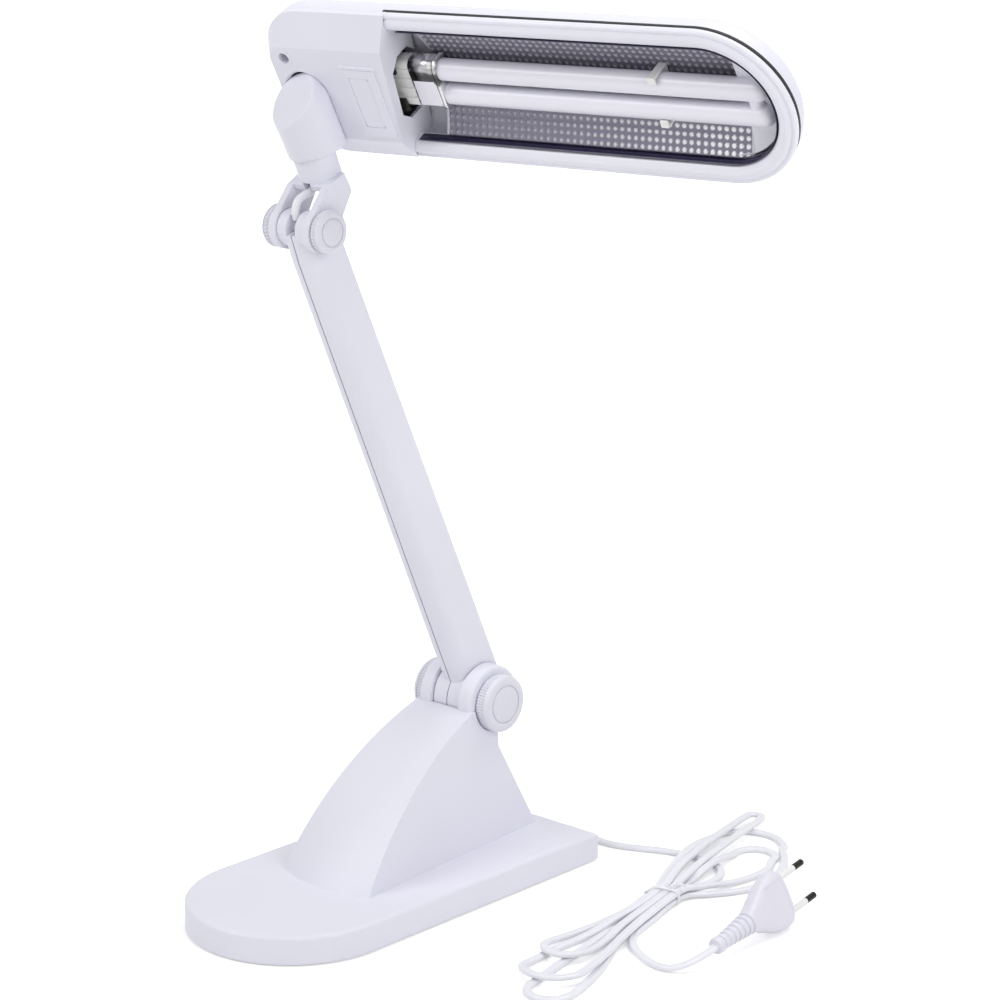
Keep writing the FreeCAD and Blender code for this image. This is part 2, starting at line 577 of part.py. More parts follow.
rise_y = S.neck_back.value - S.neck_bore.value + S.cable_radius.value + 0.3
neck_cable_route = [(0, -2.6, 7.6), (0, -2.4, 12.0), (0, 1.8, 16.4), (0, 8.0, 16.6), (0, 14.0, 15.6),
                    (0, rise_y, 20.0), (0, rise_y, 34.0)]
node("neck_cable", tube("neck_cable_arch", neck_cable_route, S.cable_radius.value), YOKE)


# Head: one outline for the top shell, the housing and the bezel.
def slab(name, half, left, low, high, corner):
    box = block(name + "_box", (-left, -half, low), (S.end_centre, half, high))
    box_left = number(left)
    cornered = eased(name + "_cornered", box, corner,
                     lambda b: b.XMax < -box_left + 0.01 and b.ZLength > 1 and b.YLength < 0.01)
    end = rod(name + "_end", half, high - low, (S.end_centre, 0, low))
    return fused(name, cornered, end)


def crowned(name, half, left, low, high, corner, radius):
    base = slab(name + "_slab", half, left, low, high, corner)
    bottom = number(low)
    return eased(name, base, radius, lambda b: b.ZMax < bottom + 0.01)


shell_outer = crowned("shell_outer", S.head_half, S.head_left, -S.shell_top, S.seam_z, S.corner, S.shell_round)
shell_inner = crowned("shell_inner", S.head_half - S.head_wall, S.head_left - S.head_wall,
                      S.head_wall - S.shell_top, S.seam_z + 1, S.corner - S.head_wall,
                      S.shell_round - S.head_wall)
AXIS = YOKE.Rotation.multVec(V(0, 0, 1))
HEAD_BACK = HEAD.inverse()
axis_point = HEAD_BACK.multVec(YOKE.multVec(V(0, S.neck_back.value, S.neck_low.value)))
axis_along = HEAD_BACK.Rotation.multVec(AXIS)


def swivel_rod(name, radius, length, start):
    """A cylinder on the swivel axis, in the head's own frame."""
    at = axis_point + axis_along * start
    return shaped(name, Part.makeCylinder(radius, length, at, axis_along))


cup_seat_end = ball("cup_seat_end", S.cup_radius + 0.2, (S.cup_x, S.cup_y + S.cup_dome, S.cup_z))
cup_room = rod("cup_room", S.cup_radius + 0.2, S.cup_dome + 0.2, (S.cup_x, S.cup_y - 0.2, S.cup_z), "Y")
cup_space = fused("cup_space", cup_room, cup_seat_end)
switch_hole = block("switch_hole", (S.switch_x - S.switch_long / 2, -S.switch_wide / 2, -S.shell_top - 5),
                    (S.switch_x + S.switch_long / 2, S.switch_wide / 2, -S.shell_top + 6))
node("head_top_shell", less("head_top_shell_cut", shell_outer, shell_inner, switch_hole), HEAD)


def housing_wire(half, left, corner, right, height):
    """A rounded rectangle with square corners on the right."""
    a, b, c, d = V(right, half, height), V(-left + corner, half, height), V(-left, half - corner, height), V(-left, corner - half, height)
    e, f = V(-left + corner, -half, height), V(right, -half, height)
    k = corner * (1 - math.sqrt(0.5))
    first = Part.Arc(b, V(-left + k, half - k, height), c).toShape()
    second = Part.Arc(d, V(-left + k, k - half, height), e).toShape()
    lines = [Part.LineSegment(*pair).toShape() for pair in ((a, b), (c, d), (e, f), (f, a))]
    return Part.Wire([lines[0], first, lines[1], second, lines[2], lines[3]])


def housing_body(name, inset, top_inset, low):
    half, left = S.head_half.value + 0.3 - inset, S.head_left.value - inset
    corner = S.corner.value - inset
    right = -5.0
    straight = Part.Face(housing_wire(half, left, corner, right, low))
    wall = straight.extrude(V(0, 0, S.rim_z.value - low))
    face = housing_wire(S.face_half.value - inset * 0.8, S.face_left.value - inset, S.face_corner.value, right,
                        S.face_z.value - top_inset)
    foot = housing_wire(half, left, corner, right, S.rim_z.value)
    return shaped(name, wall.fuse(Part.makeLoft([foot, face], True, True)))


housing_low = S.seam_z.value + 0.25
housing_outer = housing_body("housing_outer", 0, 0, housing_low)
housing_inner = housing_body("housing_inner", S.head_wall.value, S.head_wall.value, housing_low - 1)
turn = FreeCAD.Rotation(V(0, 0, 1), -S.recess_turn.value)


def slanted(name, low, high):
    """A block in the slanted frame of the recess wall, whose X is 0 on the wall's face."""
    made = doc.addObject("Part::Box", name)
    for prop, start, end in zip(("Length", "Width", "Height"), low, high):
        bind(made, prop, end - start)
    corner = V(*[number(size) for size in low])
    made.Placement = FreeCAD.Placement(V(-S.recess_x.value, 0, 0) + turn.multVec(corner), turn)
    return made


recess_cut = slanted("recess_cut", (0, -90, -40), (80, 90, 60))
wall_half = S.head_half - 2.3
wall_room = slanted("recess_wall_box", (-2.2, -wall_half, -11), (0, wall_half, S.face_z))
hollow_housing = less("hollow_housing", housing_outer, housing_inner)
wall_inside = common("recess_wall", wall_room, fused("recess_limits", housing_outer, shell_inner))
opening_corners = [(-22, -4.5), (-15.5, -11), (11, -11), (17.5, -4.5), (17.5, 5), (11, 11.8), (-15.5, 11.8), (-22, 5)]
opening = padded("holder_opening", opening_corners, 60)
put(opening, (-60, 0, 0), SIDEWAYS)
panel_out = block("panel_out", (-46, -25, S.face_z - 1), (-26, 17.6, S.face_z + 1.2))
panel_line = less("panel_line", block("panel_groove_out", (-43.4, -19, S.face_z + 0.7), (-30.6, 12.6, S.face_z + 3)),
                  block("panel_groove_in", (-42.7, -18.3, S.face_z), (-31.3, 11.9, S.face_z + 4)))
screw_well = rod("screw_well", 3.3, 30, (-82.9, 22.0, S.face_z - 9))
screw_post = rod("screw_post", 5.0, 14, (-82.9, 22.0, S.seam_z))
ridge = padded("ridge", [(-34, 27.6), (-17.4, 30.4), (-17.4, 27.4), (-21, 24.0), (-31, 26.0)], 1.2)
put(ridge, (0, 0, S.face_z - 0.9))
housing_full = fused("housing_full", less("housing_recess", hollow_housing, recess_cut), wall_inside,
                     panel_out, screw_post)
node("head_housing", less("head_housing_cut", housing_full, opening, cup_space, panel_line, screw_well,
                          shaped("neck_clear", Part.makeCylinder(S.neck_radius.value + 1, 80,
                                                                 axis_point - axis_along * 60, axis_along))),
     HEAD)
screw_head = ball("head_screw_dome", 3.0, (-82.9, 22.0, S.face_z - 10.0))
screw_trim = block("head_screw_trim", (-86, 17, S.face_z - 20), (-76, 27, S.face_z - 9))
head_screw = less("head_screw_solid", screw_head, screw_trim)
node("head_screw", head_screw, HEAD)

# Swivel cup: a domed barrel beside the housing, its top sliced at a slant.
cup_side = rod("cup_side", S.cup_radius, S.cup_dome, (S.cup_x, S.cup_y, S.cup_z), "Y")
cup_top = ball("cup_top", S.cup_radius, (S.cup_x, S.cup_y + S.cup_dome, S.cup_z))
slant = V(-0.489, 0.851, 0.195)
cut_at = V(S.cup_x.value, S.cup_y.value, S.cup_z.value) + slant * S.cup_cut.value
cut_box = doc.addObject("Part::Box", "cup_slice")
cut_box.Length, cut_box.Width, cut_box.Height = 90, 90, 60
cut_turn = FreeCAD.Rotation(V(0, 0, 1), slant)
cut_box.Placement = FreeCAD.Placement(cut_at + cut_turn.multVec(V(-45, -45, 0)), cut_turn)
cup_sliced = less("cup_sliced", fused("cup_solid", cup_side, cup_top), cut_box)
seat = S.neck_high.value - S.neck_low.value + 0.3
cup_bore = swivel_rod("cup_bore", S.neck_radius.value + 0.1, 60, seat - 60)
stub_way = swivel_rod("stub_way", S.stub_radius.value + 0.1, 16, seat - 5)
nut_room = swivel_rod("nut_room", S.nut_radius.value + 0.4, 8, seat + S.shoulder.value)
cable_door = rod("cable_door", 2.6, 25, (S.cup_x, S.cup_y + 18.5, S.cup_z - 25))
node("swivel_cup", less("swivel_cup_cut", cup_sliced, cup_bore, stub_way, nut_room, cable_door), HEAD)

# Bezel: a rounded U-shaped frame round the mouth, one seam away from the top shell.
bezel_outer = slab("bezel_outer", (S.head_half + S.bezel_proud), S.bezel_left, S.bezel_low, S.rim_z, 0.5)
mouth = slab("mouth", S.mouth_half, S.bezel_left + 30, S.bezel_low - 20, S.rim_z + 5, 0.5)
skirt_outer = slab("skirt_outer", S.mouth_half + 2.0, S.bezel_left - 2, 0.5, S.rim_z - 1, 0.5)
bezel_raw = less("bezel_raw", fused("bezel_solid", bezel_outer, skirt_outer), mouth)
rim = S.rim_z.value
bezel_soft = eased("bezel_soft", bezel_raw, S.rim_round, lambda b: b.ZMin > rim - 0.01 and b.XMax > 0)
bezel_keep = less("bezel_keep", bezel_soft, slanted("bezel_clear", (-60, -90, -40), (0.2, 90, 60)))
node("bezel_frame", bezel_keep, HEAD)

# Reflector: a thin trough behind the tube, curved across and straight along.
edge_half = S.mouth_half.value - 0.5
deep, edge_z, skin = -S.reflector_deep.value, S.reflector_edge.value, S.sheet_thick.value


def trough_arc(drop):
    left, right = V(0, -edge_half, edge_z - drop), V(0, edge_half, edge_z - drop)
    return left, V(0, 0, deep - drop), right


upper, lower = trough_arc(0), trough_arc(skin)
section = Part.Wire([Part.Arc(*upper).toShape(), Part.LineSegment(upper[2], lower[2]).toShape(),
                     Part.Arc(*lower).toShape(), Part.LineSegment(lower[0], upper[0]).toShape()])
trough = Part.Face(section).extrude(V(S.reflector_long.value, 0, 0))
trough_all = shaped("trough", trough)
trough_all.Placement = FreeCAD.Placement(V(-8.0, 0, 0), FreeCAD.Rotation())
trough_limit = slab("trough_limit", S.mouth_half - 0.4, 40, -14, 8, 0.5)
node("reflector", common("reflector_trimmed", trough_all, trough_limit), HEAD)

# Plug-in lamp: two glass legs joined near the tip, a chrome band, a white cap with two pins.
half_pitch = S.tube_pitch / 2
legs = []
for side, across in (("upper", half_pitch), ("lower", -half_pitch)):
    leg = rod(f"leg_{side}", S.tube_radius, S.tube_long - S.tube_radius, (0, across, 0), "X")
    tip = ball(f"leg_tip_{side}", S.tube_radius, (S.tube_long - S.tube_radius, across, 0))
    legs += [leg, tip]
bridge_rod = rod("lamp_bridge", 3.6, S.tube_pitch, (S.tube_long - S.bridge_from_end, -half_pitch, 0), "Y")
glass = fused("lamp_glass", bridge_rod, *legs)
bores = []
bore = S.tube_radius - S.glass_wall
for side, across in (("upper", half_pitch), ("lower", -half_pitch)):
    bores.append(rod(f"leg_bore_{side}", bore, S.tube_long - S.tube_radius, (0, across, 0), "X"))
    bores.append(ball(f"leg_bore_tip_{side}", bore, (S.tube_long - S.tube_radius, across, 0)))
node("lamp_tube", less("lamp_tube_cut", glass, *bores), HEAD)


def stub(name, start, length, wide, high, radius):
    box = block(name + "_box", (start, -wide / 2, -high / 2), (start + length, wide / 2, high / 2))
    return eased(name, box, radius, lambda b: b.XLength > 1 and b.YLength < 0.01 and b.ZLength < 0.01)


band = stub("band", -S.band_long, S.band_long, S.band_wide, S.band_high, 5.0)
band_lip = stub("band_lip", -1.6, 1.6, S.band_wide + 2.4, S.band_high + 2.0, 6.0)
node("lamp_band", fused("lamp_band_all", band, band_lip), HEAD)
cap_start = -S.band_long - S.cap_long
cap = stub("cap", cap_start, S.cap_long, S.cap_wide, S.cap_high, 3.0)
ribs = [block(f"cap_rib_{i}", (cap_start + 1, -9.6 + i * 6.0, S.cap_high / 2 - 0.4),
              (-S.band_long - 0.5, -7.6 + i * 6.0, S.cap_high / 2 + 0.7)) for i in range(4)]
node("lamp_cap", fused("lamp_cap_all", cap, *ribs), HEAD)
pins = [rod(f"lamp_pin_{i}", 1.15, S.pin_long, (cap_start - S.pin_long, across, 0), "X")
        for i, across in enumerate((-11.5, 11.5))]
node("lamp_pins", fused("lamp_pins_all", *pins), HEAD)
holder_low = S.head_wall + 0.3 - S.shell_top
holder = block("holder_block", (cap_start - 22, -19, holder_low), (cap_start - 0.2, 19, 9.5))
pin_ways = [rod(f"pin_way_{i}", 1.2, 12, (cap_start - 11, across, 0), "X") for i, across in enumerate((-11.5, 11.5))]
jaw_up = block("jaw_up", (cap_start - 3, 8, S.cap_high / 2 + 1.1), (cap_start + 7, 15, S.cap_high / 2 + 2.6))
jaw_low = block("jaw_low", (cap_start - 3, -15, S.cap_high / 2 + 1.1), (cap_start + 7, -8, S.cap_high / 2 + 2.6))
node("lamp_holder", less("lamp_holder_cut", fused("holder_solid", holder, jaw_up, jaw_low), *pin_ways), HEAD)

# Clip that steadies the tube: a foot on the reflector and two hooked arms.
clip_reach = S.tube_pitch / 2 + S.tube_radius
clip_low = S.tube_radius + 0.2
arms = []
for side in (1, -1):
    near = clip_reach + S.clip_play
    far = near + S.clip_wall
    arm_low = (S.clip_x, near if side > 0 else -far, 0.6 - clip_low)
    arm_high = (S.clip_x + S.clip_wide, far if side > 0 else -near, S.tube_radius - 0.6)
    hook_low = (S.clip_x, near - 3.0 if side > 0 else -far, S.tube_radius - 0.6)
    hook_high = (S.clip_x + S.clip_wide, far if side > 0 else 3.0 - near, S.tube_radius + 0.6)
    arms += [block(f"clip_arm_{side + 1}", arm_low, arm_high), block(f"clip_hook_{side + 1}", hook_low, hook_high)]
clip_far = clip_reach + S.clip_play + S.clip_wall
clip_foot = block("clip_foot", (S.clip_x, -clip_far, -clip_low - 1.0), (S.clip_x + S.clip_wide, clip_far, -clip_low))
clip_sides = [block(f"clip_side_{i}", (S.clip_x, a, -clip_low - 0.4), (S.clip_x + S.clip_wide, b, 0.8 - clip_low))
              for i, (a, b) in enumerate(((clip_far - S.clip_wall, clip_far), (-clip_far, S.clip_wall - clip_far)))]
node("tube_clip", fused("tube_clip_all", clip_foot, *arms, *clip_sides), HEAD)

# Rocker switch in the back of the housing.
shell_back = -S.shell_top
switch_left = S.switch_x - S.switch_long / 2
switch_right = S.switch_x + S.switch_long / 2
switch_half = S.switch_wide / 2
switch_rim = block("switch_rim", (switch_left - 1.6, -switch_half - 1.4, shell_back - 1.4),
                   (switch_right + 1.6, switch_half + 1.4, shell_back))
switch_can = block("switch_can", (switch_left + 0.2, 0.2 - switch_half, shell_back - 0.6),
                   (switch_right - 0.2, switch_half - 0.2, shell_back + 9))
switch_well = block("switch_well", (switch_left + 1.4, 1.6 - switch_half, shell_back - 4),
                    (switch_right - 1.4, switch_half - 1.6, shell_back + 6.4))
node("switch_body", less("switch_body_cut", fused("switch_solid", switch_rim, switch_can), switch_well), HEAD)
key_half = S.switch_long / 2 - 1.9
key_wide = S.switch_wide - 3.8
key = padded("rocker_key", [(-key_half, -3.6), (0, -3.0), (key_half, -3.6), (key_half, -0.6), (2.6, 3.2),
                            (-2.6, 3.2), (-key_half, -0.6)], key_wide)
upright = FreeCAD.Rotation(V(1, 0, 0), V(0, 0, 1), V(0, -1, 0), "ZXY")
tilted = FreeCAD.Rotation(V(0, 1, 0), S.rocker_tilt.value).multiply(upright)
put(key, (S.switch_x, key_wide / 2, shell_back + 2.2), tilted)
pivot = rod("rocker_pivot", 1.2, S.switch_wide - 3.4, (S.switch_x, 1.7 - switch_half, shell_back + 2.2), "Y")
node("rocker_switch", fused("rocker_all", key, pivot), HEAD)

# Mains cord. Inside the base it runs from the terminals through the clamp and the bush.
exit_x, exit_z = S.cord_exit_x.value, S.cord_exit_z.value
exit_y = S.base_long.value / 2 + 6.0
node("inner_cord", rod("inner_cord_rod", S.cord_radius - 0.05, exit_y - rear_y + 24.3, (S.cord_exit_x, rear_y - 24.3, S.cord_exit_z), "Y"))

# The hank: strands lie side by side through the waist and fan out into lobes at both ends.
Side = namedtuple("Side", "slot layer spread shape lifts")
Lobe = namedtuple("Lobe", "turn reach out back tip")
# Shapes give the share of a lobe's reach, and the share of a side's spread there.
EVEN = ((0.17, 0.0), (0.33, 0.12), (0.50, 0.42), (0.66, 0.80), (0.83, 1.0))
FAST = ((0.17, 0.35), (0.33, 0.75), (0.50, 0.92), (0.66, 1.0), (0.83, 1.0))
FULL = ((0.17, 0.16), (0.32, 0.42), (0.46, 0.68), (0.60, 0.90), (0.74, 0.98), (0.86, 0.80))
LEAF = ((0.17, 0.38), (0.26, 0.72), (0.36, 0.94), (0.48, 1.02), (0.60, 0.98), (0.74, 0.80), (0.86, 0.50))
UPPER, LOWER = S.hank_turn.value, -79.0
LOBES = [
    Lobe(LOWER, 157, Side(0.5, 0, 20.5, EVEN, (0, 0, 0, 0, 0)), Side(-0.5, 0, 0.0, EVEN, (0, 0, 0, 0, 0)),
         (0, 0, 0, 0)),
    Lobe(UPPER, 102, Side(-0.5, 0, 6.3, FAST, (0, 0, 1, 1, 0)), Side(1.5, 1, 25, FULL, (1.1, 0.4, 0, 0, 0, 0)),
         (0, 0, 0, 0)),
    Lobe(LOWER, 139, Side(1.5, 1, 9.5, EVEN, (1, 1, 1, 1, 1)), Side(-0.5, 1, -15.5, EVEN, (1, 1, 0.1, 0, 0)),
         (1, 1, 1, 0.5)),
    Lobe(UPPER, 146, Side(-0.5, 1, -12.3, FAST, (1, 1, 1, 1, 1)), Side(0.5, 1, -7.2, FAST, (1, 1, 1, 1, 1)),
         (1, 1, 1, 1)),
    Lobe(LOWER, 108, Side(0.5, 1, 1.0, EVEN, (1.12, 1, 1, 0.1, 0.3)), Side(-1.5, 0, -12.5, EVEN, (0, 0, 0, 0, 0.6)),
         (1, 1, 1, 1)),
    Lobe(UPPER, 127, Side(-1.5, 0, -11.5, FAST, (0, 0.2, 1, 1, 0)), Side(1.5, 0, 33, LEAF, (0,) * 7),
         (0, 0, 0, 0)),
]


def direction(turn):
    return V(math.cos(math.radians(turn)), math.sin(math.radians(turn)), 0)


def strand_point(turn, along, across, level):
    """A point of the hank: along its lobe, across to the +X side, and how many cords high."""
    ahead = direction(turn)
    aside = V(ahead.y, -ahead.x, 0) if turn > 0 else V(-ahead.y, ahead.x, 0)
    tie = V(S.hank_x.value, S.hank_y.value, 0)
    return tie + ahead * along + aside * across + V(0, 0, S.cord_radius.value + level * S.hank_layer.value)


def side_points(lobe, side):
    step = S.hank_step.value
    return [strand_point(lobe.turn, lobe.reach * share, side.slot * step + side.spread * wide, level)
            for (share, wide), level in zip(side.shape, side.lifts)]


def lobe_points(lobe):
    """Out along one side, round the tip and back along the other side."""
    step = S.hank_step.value
    first = lobe.out.slot * step + lobe.out.spread * lobe.out.shape[-1][1]
    last = lobe.back.slot * step + lobe.back.spread * lobe.back.shape[-1][1]
    middle, half = (first + last) / 2, (first - last) / 2
    shoulder = lobe.reach - 0.59 * abs(half)
    places = [(shoulder, middle + half), (lobe.reach, middle + 0.41 * half),
              (lobe.reach, middle - 0.41 * half), (shoulder, middle - half)]
    tip = [strand_point(lobe.turn, along, across, level)
           for (along, across), level in zip(places, lobe.tip)]
    return side_points(lobe, lobe.out) + tip + side_points(lobe, lobe.back)[::-1]


def waist_point(slot, layer, along):
    raised = layer + S.hank_lift.value / S.hank_layer.value
    return strand_point(UPPER, along, slot * S.hank_step.value, raised)


def hank_points():
    end = S.waist_half.value
    points = [waist_point(0.5, 0, end), waist_point(0.5, 0, -end)]
    for lobe in LOBES:
        points += lobe_points(lobe)
        near = end if lobe.turn > 0 else -end
        points.append(waist_point(lobe.back.slot, lobe.back.layer, near))
        points.append(waist_point(lobe.back.slot, lobe.back.layer, -near))
    return points


def hank_place(along, across):
    """A place beside the hank on the floor, in the hank's own directions."""
    return tuple(strand_point(UPPER, along, across, 0))


# The lead runs from the bush under the upper lobes to the waist; the tail runs on to the plug.
floor = S.cord_radius.value
lead_route = [(exit_x, exit_y, exit_z), (exit_x, exit_y + 6.5, exit_z), (exit_x + 4.5, exit_y + 14, 4.6),
              (22, 151.0, 2.9), (34, 150.5, floor), (46, 148, floor), (60, 150, floor), (74, 156.5, floor),
              (88, 163.3, floor), (103, 166.5, floor), hank_place(67, -6), hank_place(63.5, 5),
              hank_place(54, 12), hank_place(42, 13.6), hank_place(27, 9.0)]
plug_ahead = V(-0.0748, 0.9904, 0.1159).normalize()
plug_down = V(0.374, 0.1356, -0.9174)
plug_side = plug_ahead.cross(-plug_down).normalize()
plug_up = plug_side.cross(plug_ahead)
pins_at = V(S.plug_x.value, S.plug_y.value, S.plug_z.value)
PLUG = FreeCAD.Placement(pins_at, FreeCAD.Rotation(plug_ahead, -plug_side, plug_up, "ZXY"))
relief_end = pins_at - plug_ahead * (S.plug_long.value + S.relief_long.value)
tail_route = [hank_place(-28, 9.7), hank_place(-46, 10.0), (156.6, 47, floor), (164, 37, floor),
              (177.5, 28.5, floor), (191.5, 23.5, floor), (204.5, 24.5, 3.4),
              tuple(relief_end - plug_ahead * 16), tuple(relief_end)]


def midway(a, b):
    return tuple((V(*a) + V(*b)) * 0.5)


hank_route = [tuple(point) for point in hank_points()]
joint_in = midway(lead_route[-1], hank_route[0])
joint_out = midway(hank_route[-1], tail_route[0])
node("cord_lead", tube("cord_lead_tube", lead_route + [joint_in], S.cord_radius.value))
node("cord_hank", tube("cord_hank_tube", [joint_in] + hank_route + [joint_out], S.cord_radius.value))
node("cord_tail", tube("cord_tail_tube", [joint_out] + tail_route, S.cord_radius.value))


def least_gap(points, radius, apart):
    """The least gap between stretches of one cord that are further apart along it than apart."""
    path, _ = through([V(*point) for point in points])
    count = int(path.Length / 1.5)
    spots = path.discretize(Number=count)
    step = path.Length / (count - 1)
    skip = int(apart / step)
    return min((((a - b).Length - 2 * radius, a) for i, a in enumerate(spots) for b in spots[i + skip:]), key=lambda pair: pair[0])


least, spot = least_gap(lead_route + hank_route + tail_route, S.cord_radius.value, 14)
print(f"least gap of the cord to itself: {least:.2f} mm near {spot.x:.0f}, {spot.y:.0f}, {spot.z:.1f}")

# A thin strap holds the waist of the hank.
strap_reach = 1.5 * S.hank_step + S.cord_radius + 0.4
strap_top = S.cord_radius * 2 + S.hank_layer + S.hank_lift + 0.4
waist_turn = FreeCAD.Rotation(V(0, 0, 1), S.hank_turn.value - 90)
strap_outer = block("strap_outer", (-strap_reach - 0.6, -1.3, 0.1), (strap_reach + 0.6, 1.3, strap_top + 0.6))
strap_inner = block("strap_inner", (-strap_reach, -3, 0.7), (strap_reach, 3, strap_top))
strap_round = eased("strap_round", strap_outer, 2.8, lambda b: b.YLength > 2 and b.ZLength < 0.01)
strap_core = eased("strap_core", strap_inner, 2.2, lambda b: b.YLength > 5 and b.ZLength < 0.01)
WAIST = FreeCAD.Placement(V(S.hank_x.value, S.hank_y.value, 0), waist_turn)
node("cord_tie", less("cord_tie_ring", strap_round, strap_core), WAIST)

# Plug: a flat moulded body that narrows to a ribbed strain relief; two sleeved pins.
plug_half = S.plug_thick / 2
face_at = -S.plug_face
rear_at = -S.plug_long
side_view = padded("plug_side", [(face_at, -12.2), (face_at, 15.2), (-10, 17.6), (-17, 17.2), (-27, 14.8), (-36, 11.2),
                                 (rear_at, 6.8), (rear_at, -6.6), (-36, -11.8), (-22, -15.4), (-12, -15.6)],
                   S.plug_thick)
put(side_view, (0, plug_half, 0), upright)
plug_soft = eased("plug_soft", side_view, 2.2, lambda b: b.YLength < 0.01, "Part::Chamfer")
rib_count = 6
pitch = S.relief_long.value / rib_count
relief = []
for i in range(rib_count):
    radius = S.relief_radius * (1 - 0.06 * i)
    start = rear_at - i * pitch
    relief.append(rod(f"relief_rib_{i}", radius, pitch * 0.6, (start - pitch * 0.8, 0, 0), "X"))
    relief.append(rod(f"relief_core_{i}", radius - 1.3, pitch + 0.2, (start - pitch, 0, 0), "X"))
pin_seats = [rod(f"pin_seat_{i}", S.pin_radius - 0.7, 10, (face_at - 4, 0, up), "X")
             for i, up in enumerate((S.pin_half, -S.pin_half))]
node("plug_body", less("plug_body_cut", fused("plug_body_all", plug_soft, *relief), *pin_seats), PLUG)
prongs, sleeves = [], []
for i, up in enumerate((S.pin_half, -S.pin_half)):
    root = face_at - 4
    sleeve_end = S.plug_pin_long - S.sleeve_long
    prongs.append(rod(f"prong_{i}", S.pin_radius, S.sleeve_long - 1, (sleeve_end, 0, up), "X"))
    prongs.append(taper(f"prong_tip_{i}", S.pin_radius, S.pin_radius - 0.9, 1.0,
                        (S.plug_pin_long - 1, 0, up), "X"))
    prongs.append(rod(f"prong_core_{i}", S.pin_radius - 0.7, sleeve_end - root, (root, 0, up), "X"))
    sleeves.append(less(f"sleeve_{i}", rod(f"sleeve_rod_{i}", S.pin_radius, sleeve_end - face_at, (face_at, 0, up), "X"),
                        rod(f"sleeve_way_{i}", S.pin_radius - 0.7, 60, (-30, 0, up), "X")))
node("plug_pins", fused("plug_pins_all", *prongs), PLUG)
node("pin_sleeves", fused("pin_sleeves_all", *sleeves), PLUG)

def finish():
    doc.recompute()
    for thing in doc.Objects:
        if "Invalid" in thing.State or "Error" in thing.State:
            raise SystemExit(f"{thing.Name} failed: {thing.State}")
    os.makedirs("parts", exist_ok=True)
    for name, made in nodes:
        if made.Shape.isNull() or not made.Shape.isValid():
            raise SystemExit(f"{name} has no valid shape")
        made.Shape.exportStep(f"parts/{name}.step")
        print(name, len(made.Shape.Solids), round(made.Shape.Volume / 1000, 2), "cm3")


finish()
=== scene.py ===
# %% [markdown]
# # A fluorescent desk lamp
# The finished lamp stands on a pale floor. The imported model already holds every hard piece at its
# real size, so this lesson adds what a drawing office leaves out: the grain of moulded plastic,
# a dimpled mirror, a coated glass tube and two metres of soft cord tied in a hank.

# %% Load the lamp
import math

import bpy
from mathutils import Matrix, Vector


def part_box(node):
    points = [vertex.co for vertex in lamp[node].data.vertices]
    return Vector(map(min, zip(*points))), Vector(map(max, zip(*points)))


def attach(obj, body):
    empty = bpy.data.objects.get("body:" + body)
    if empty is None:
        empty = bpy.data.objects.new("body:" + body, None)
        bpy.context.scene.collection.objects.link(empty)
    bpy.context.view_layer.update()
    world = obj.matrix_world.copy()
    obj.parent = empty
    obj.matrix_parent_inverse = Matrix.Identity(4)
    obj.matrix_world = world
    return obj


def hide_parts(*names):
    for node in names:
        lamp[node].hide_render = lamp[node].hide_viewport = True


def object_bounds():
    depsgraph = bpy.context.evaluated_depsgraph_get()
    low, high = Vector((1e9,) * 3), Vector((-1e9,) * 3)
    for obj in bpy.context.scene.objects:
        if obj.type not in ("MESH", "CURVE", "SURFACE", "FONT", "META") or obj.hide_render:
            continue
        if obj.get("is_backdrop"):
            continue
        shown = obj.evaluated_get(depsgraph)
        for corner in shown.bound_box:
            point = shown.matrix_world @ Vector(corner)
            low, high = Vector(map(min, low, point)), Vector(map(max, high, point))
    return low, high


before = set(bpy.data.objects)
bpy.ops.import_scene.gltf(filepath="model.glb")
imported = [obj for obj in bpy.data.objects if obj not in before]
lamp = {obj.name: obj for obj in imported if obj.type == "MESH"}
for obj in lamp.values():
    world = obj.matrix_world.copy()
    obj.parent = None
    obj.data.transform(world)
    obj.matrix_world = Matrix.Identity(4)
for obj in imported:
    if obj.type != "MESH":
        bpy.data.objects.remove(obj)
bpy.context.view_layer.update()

# %% [markdown]
# ## The camera
# A small object looks natural through a long lens from about a metre and a half away. The camera is
# level from side to side, a little above the lamp and to its right, so its turn has two angles only:
# one down from the horizon and one round from the front.

# %% Set the camera
camera_data = bpy.data.cameras.new("product_camera")
camera_data.lens = 102.84
camera_data.sensor_width = 36
camera = bpy.data.objects.new("product_camera", camera_data)
camera.location = (1.1094, -1.1062, 0.6249)
camera.rotation_euler = (math.radians(90 - 13.96), 0, math.radians(42.42))
bpy.context.scene.collection.objects.link(camera)
bpy.context.scene.camera = camera

# %% [markdown]
# ## Finishes
# Every plastic on this lamp is moulded, and moulded plastic isn't perfectly flat or even. A fine
# noise in the bump makes the grain, and a very slow noise shifts the colour by three per cent at most,
# as a thick wall cools unevenly. The same recipe with other numbers gives knobs, cap and cord.

# %% A recipe for moulded plastic
def srgb(red, green, blue):
    """Screen values from 0 to 255 as the linear colour that a shader takes."""
    def linear(value):
        value /= 255
        return value / 12.92 if value <= 0.04045 else ((value + 0.055) / 1.055) ** 2.4
    return (linear(red), linear(green), linear(blue), 1)


def new_material(name):
    material = bpy.data.materials.new(name)
    material.use_nodes = True
    nodes = material.node_tree.nodes
    shader = next(n for n in nodes if n.type == "BSDF_PRINCIPLED")
    return material, nodes, material.node_tree.links, shader


def map_range(nodes, low, high, to_low, to_high):
    """A node that carries the range from low to high onto another one."""
    node = nodes.new("ShaderNodeMapRange")
    for socket, value in zip(("From Min", "From Max", "To Min", "To Max"), (low, high, to_low, to_high)):
        node.inputs[socket].default_value = value
    return node


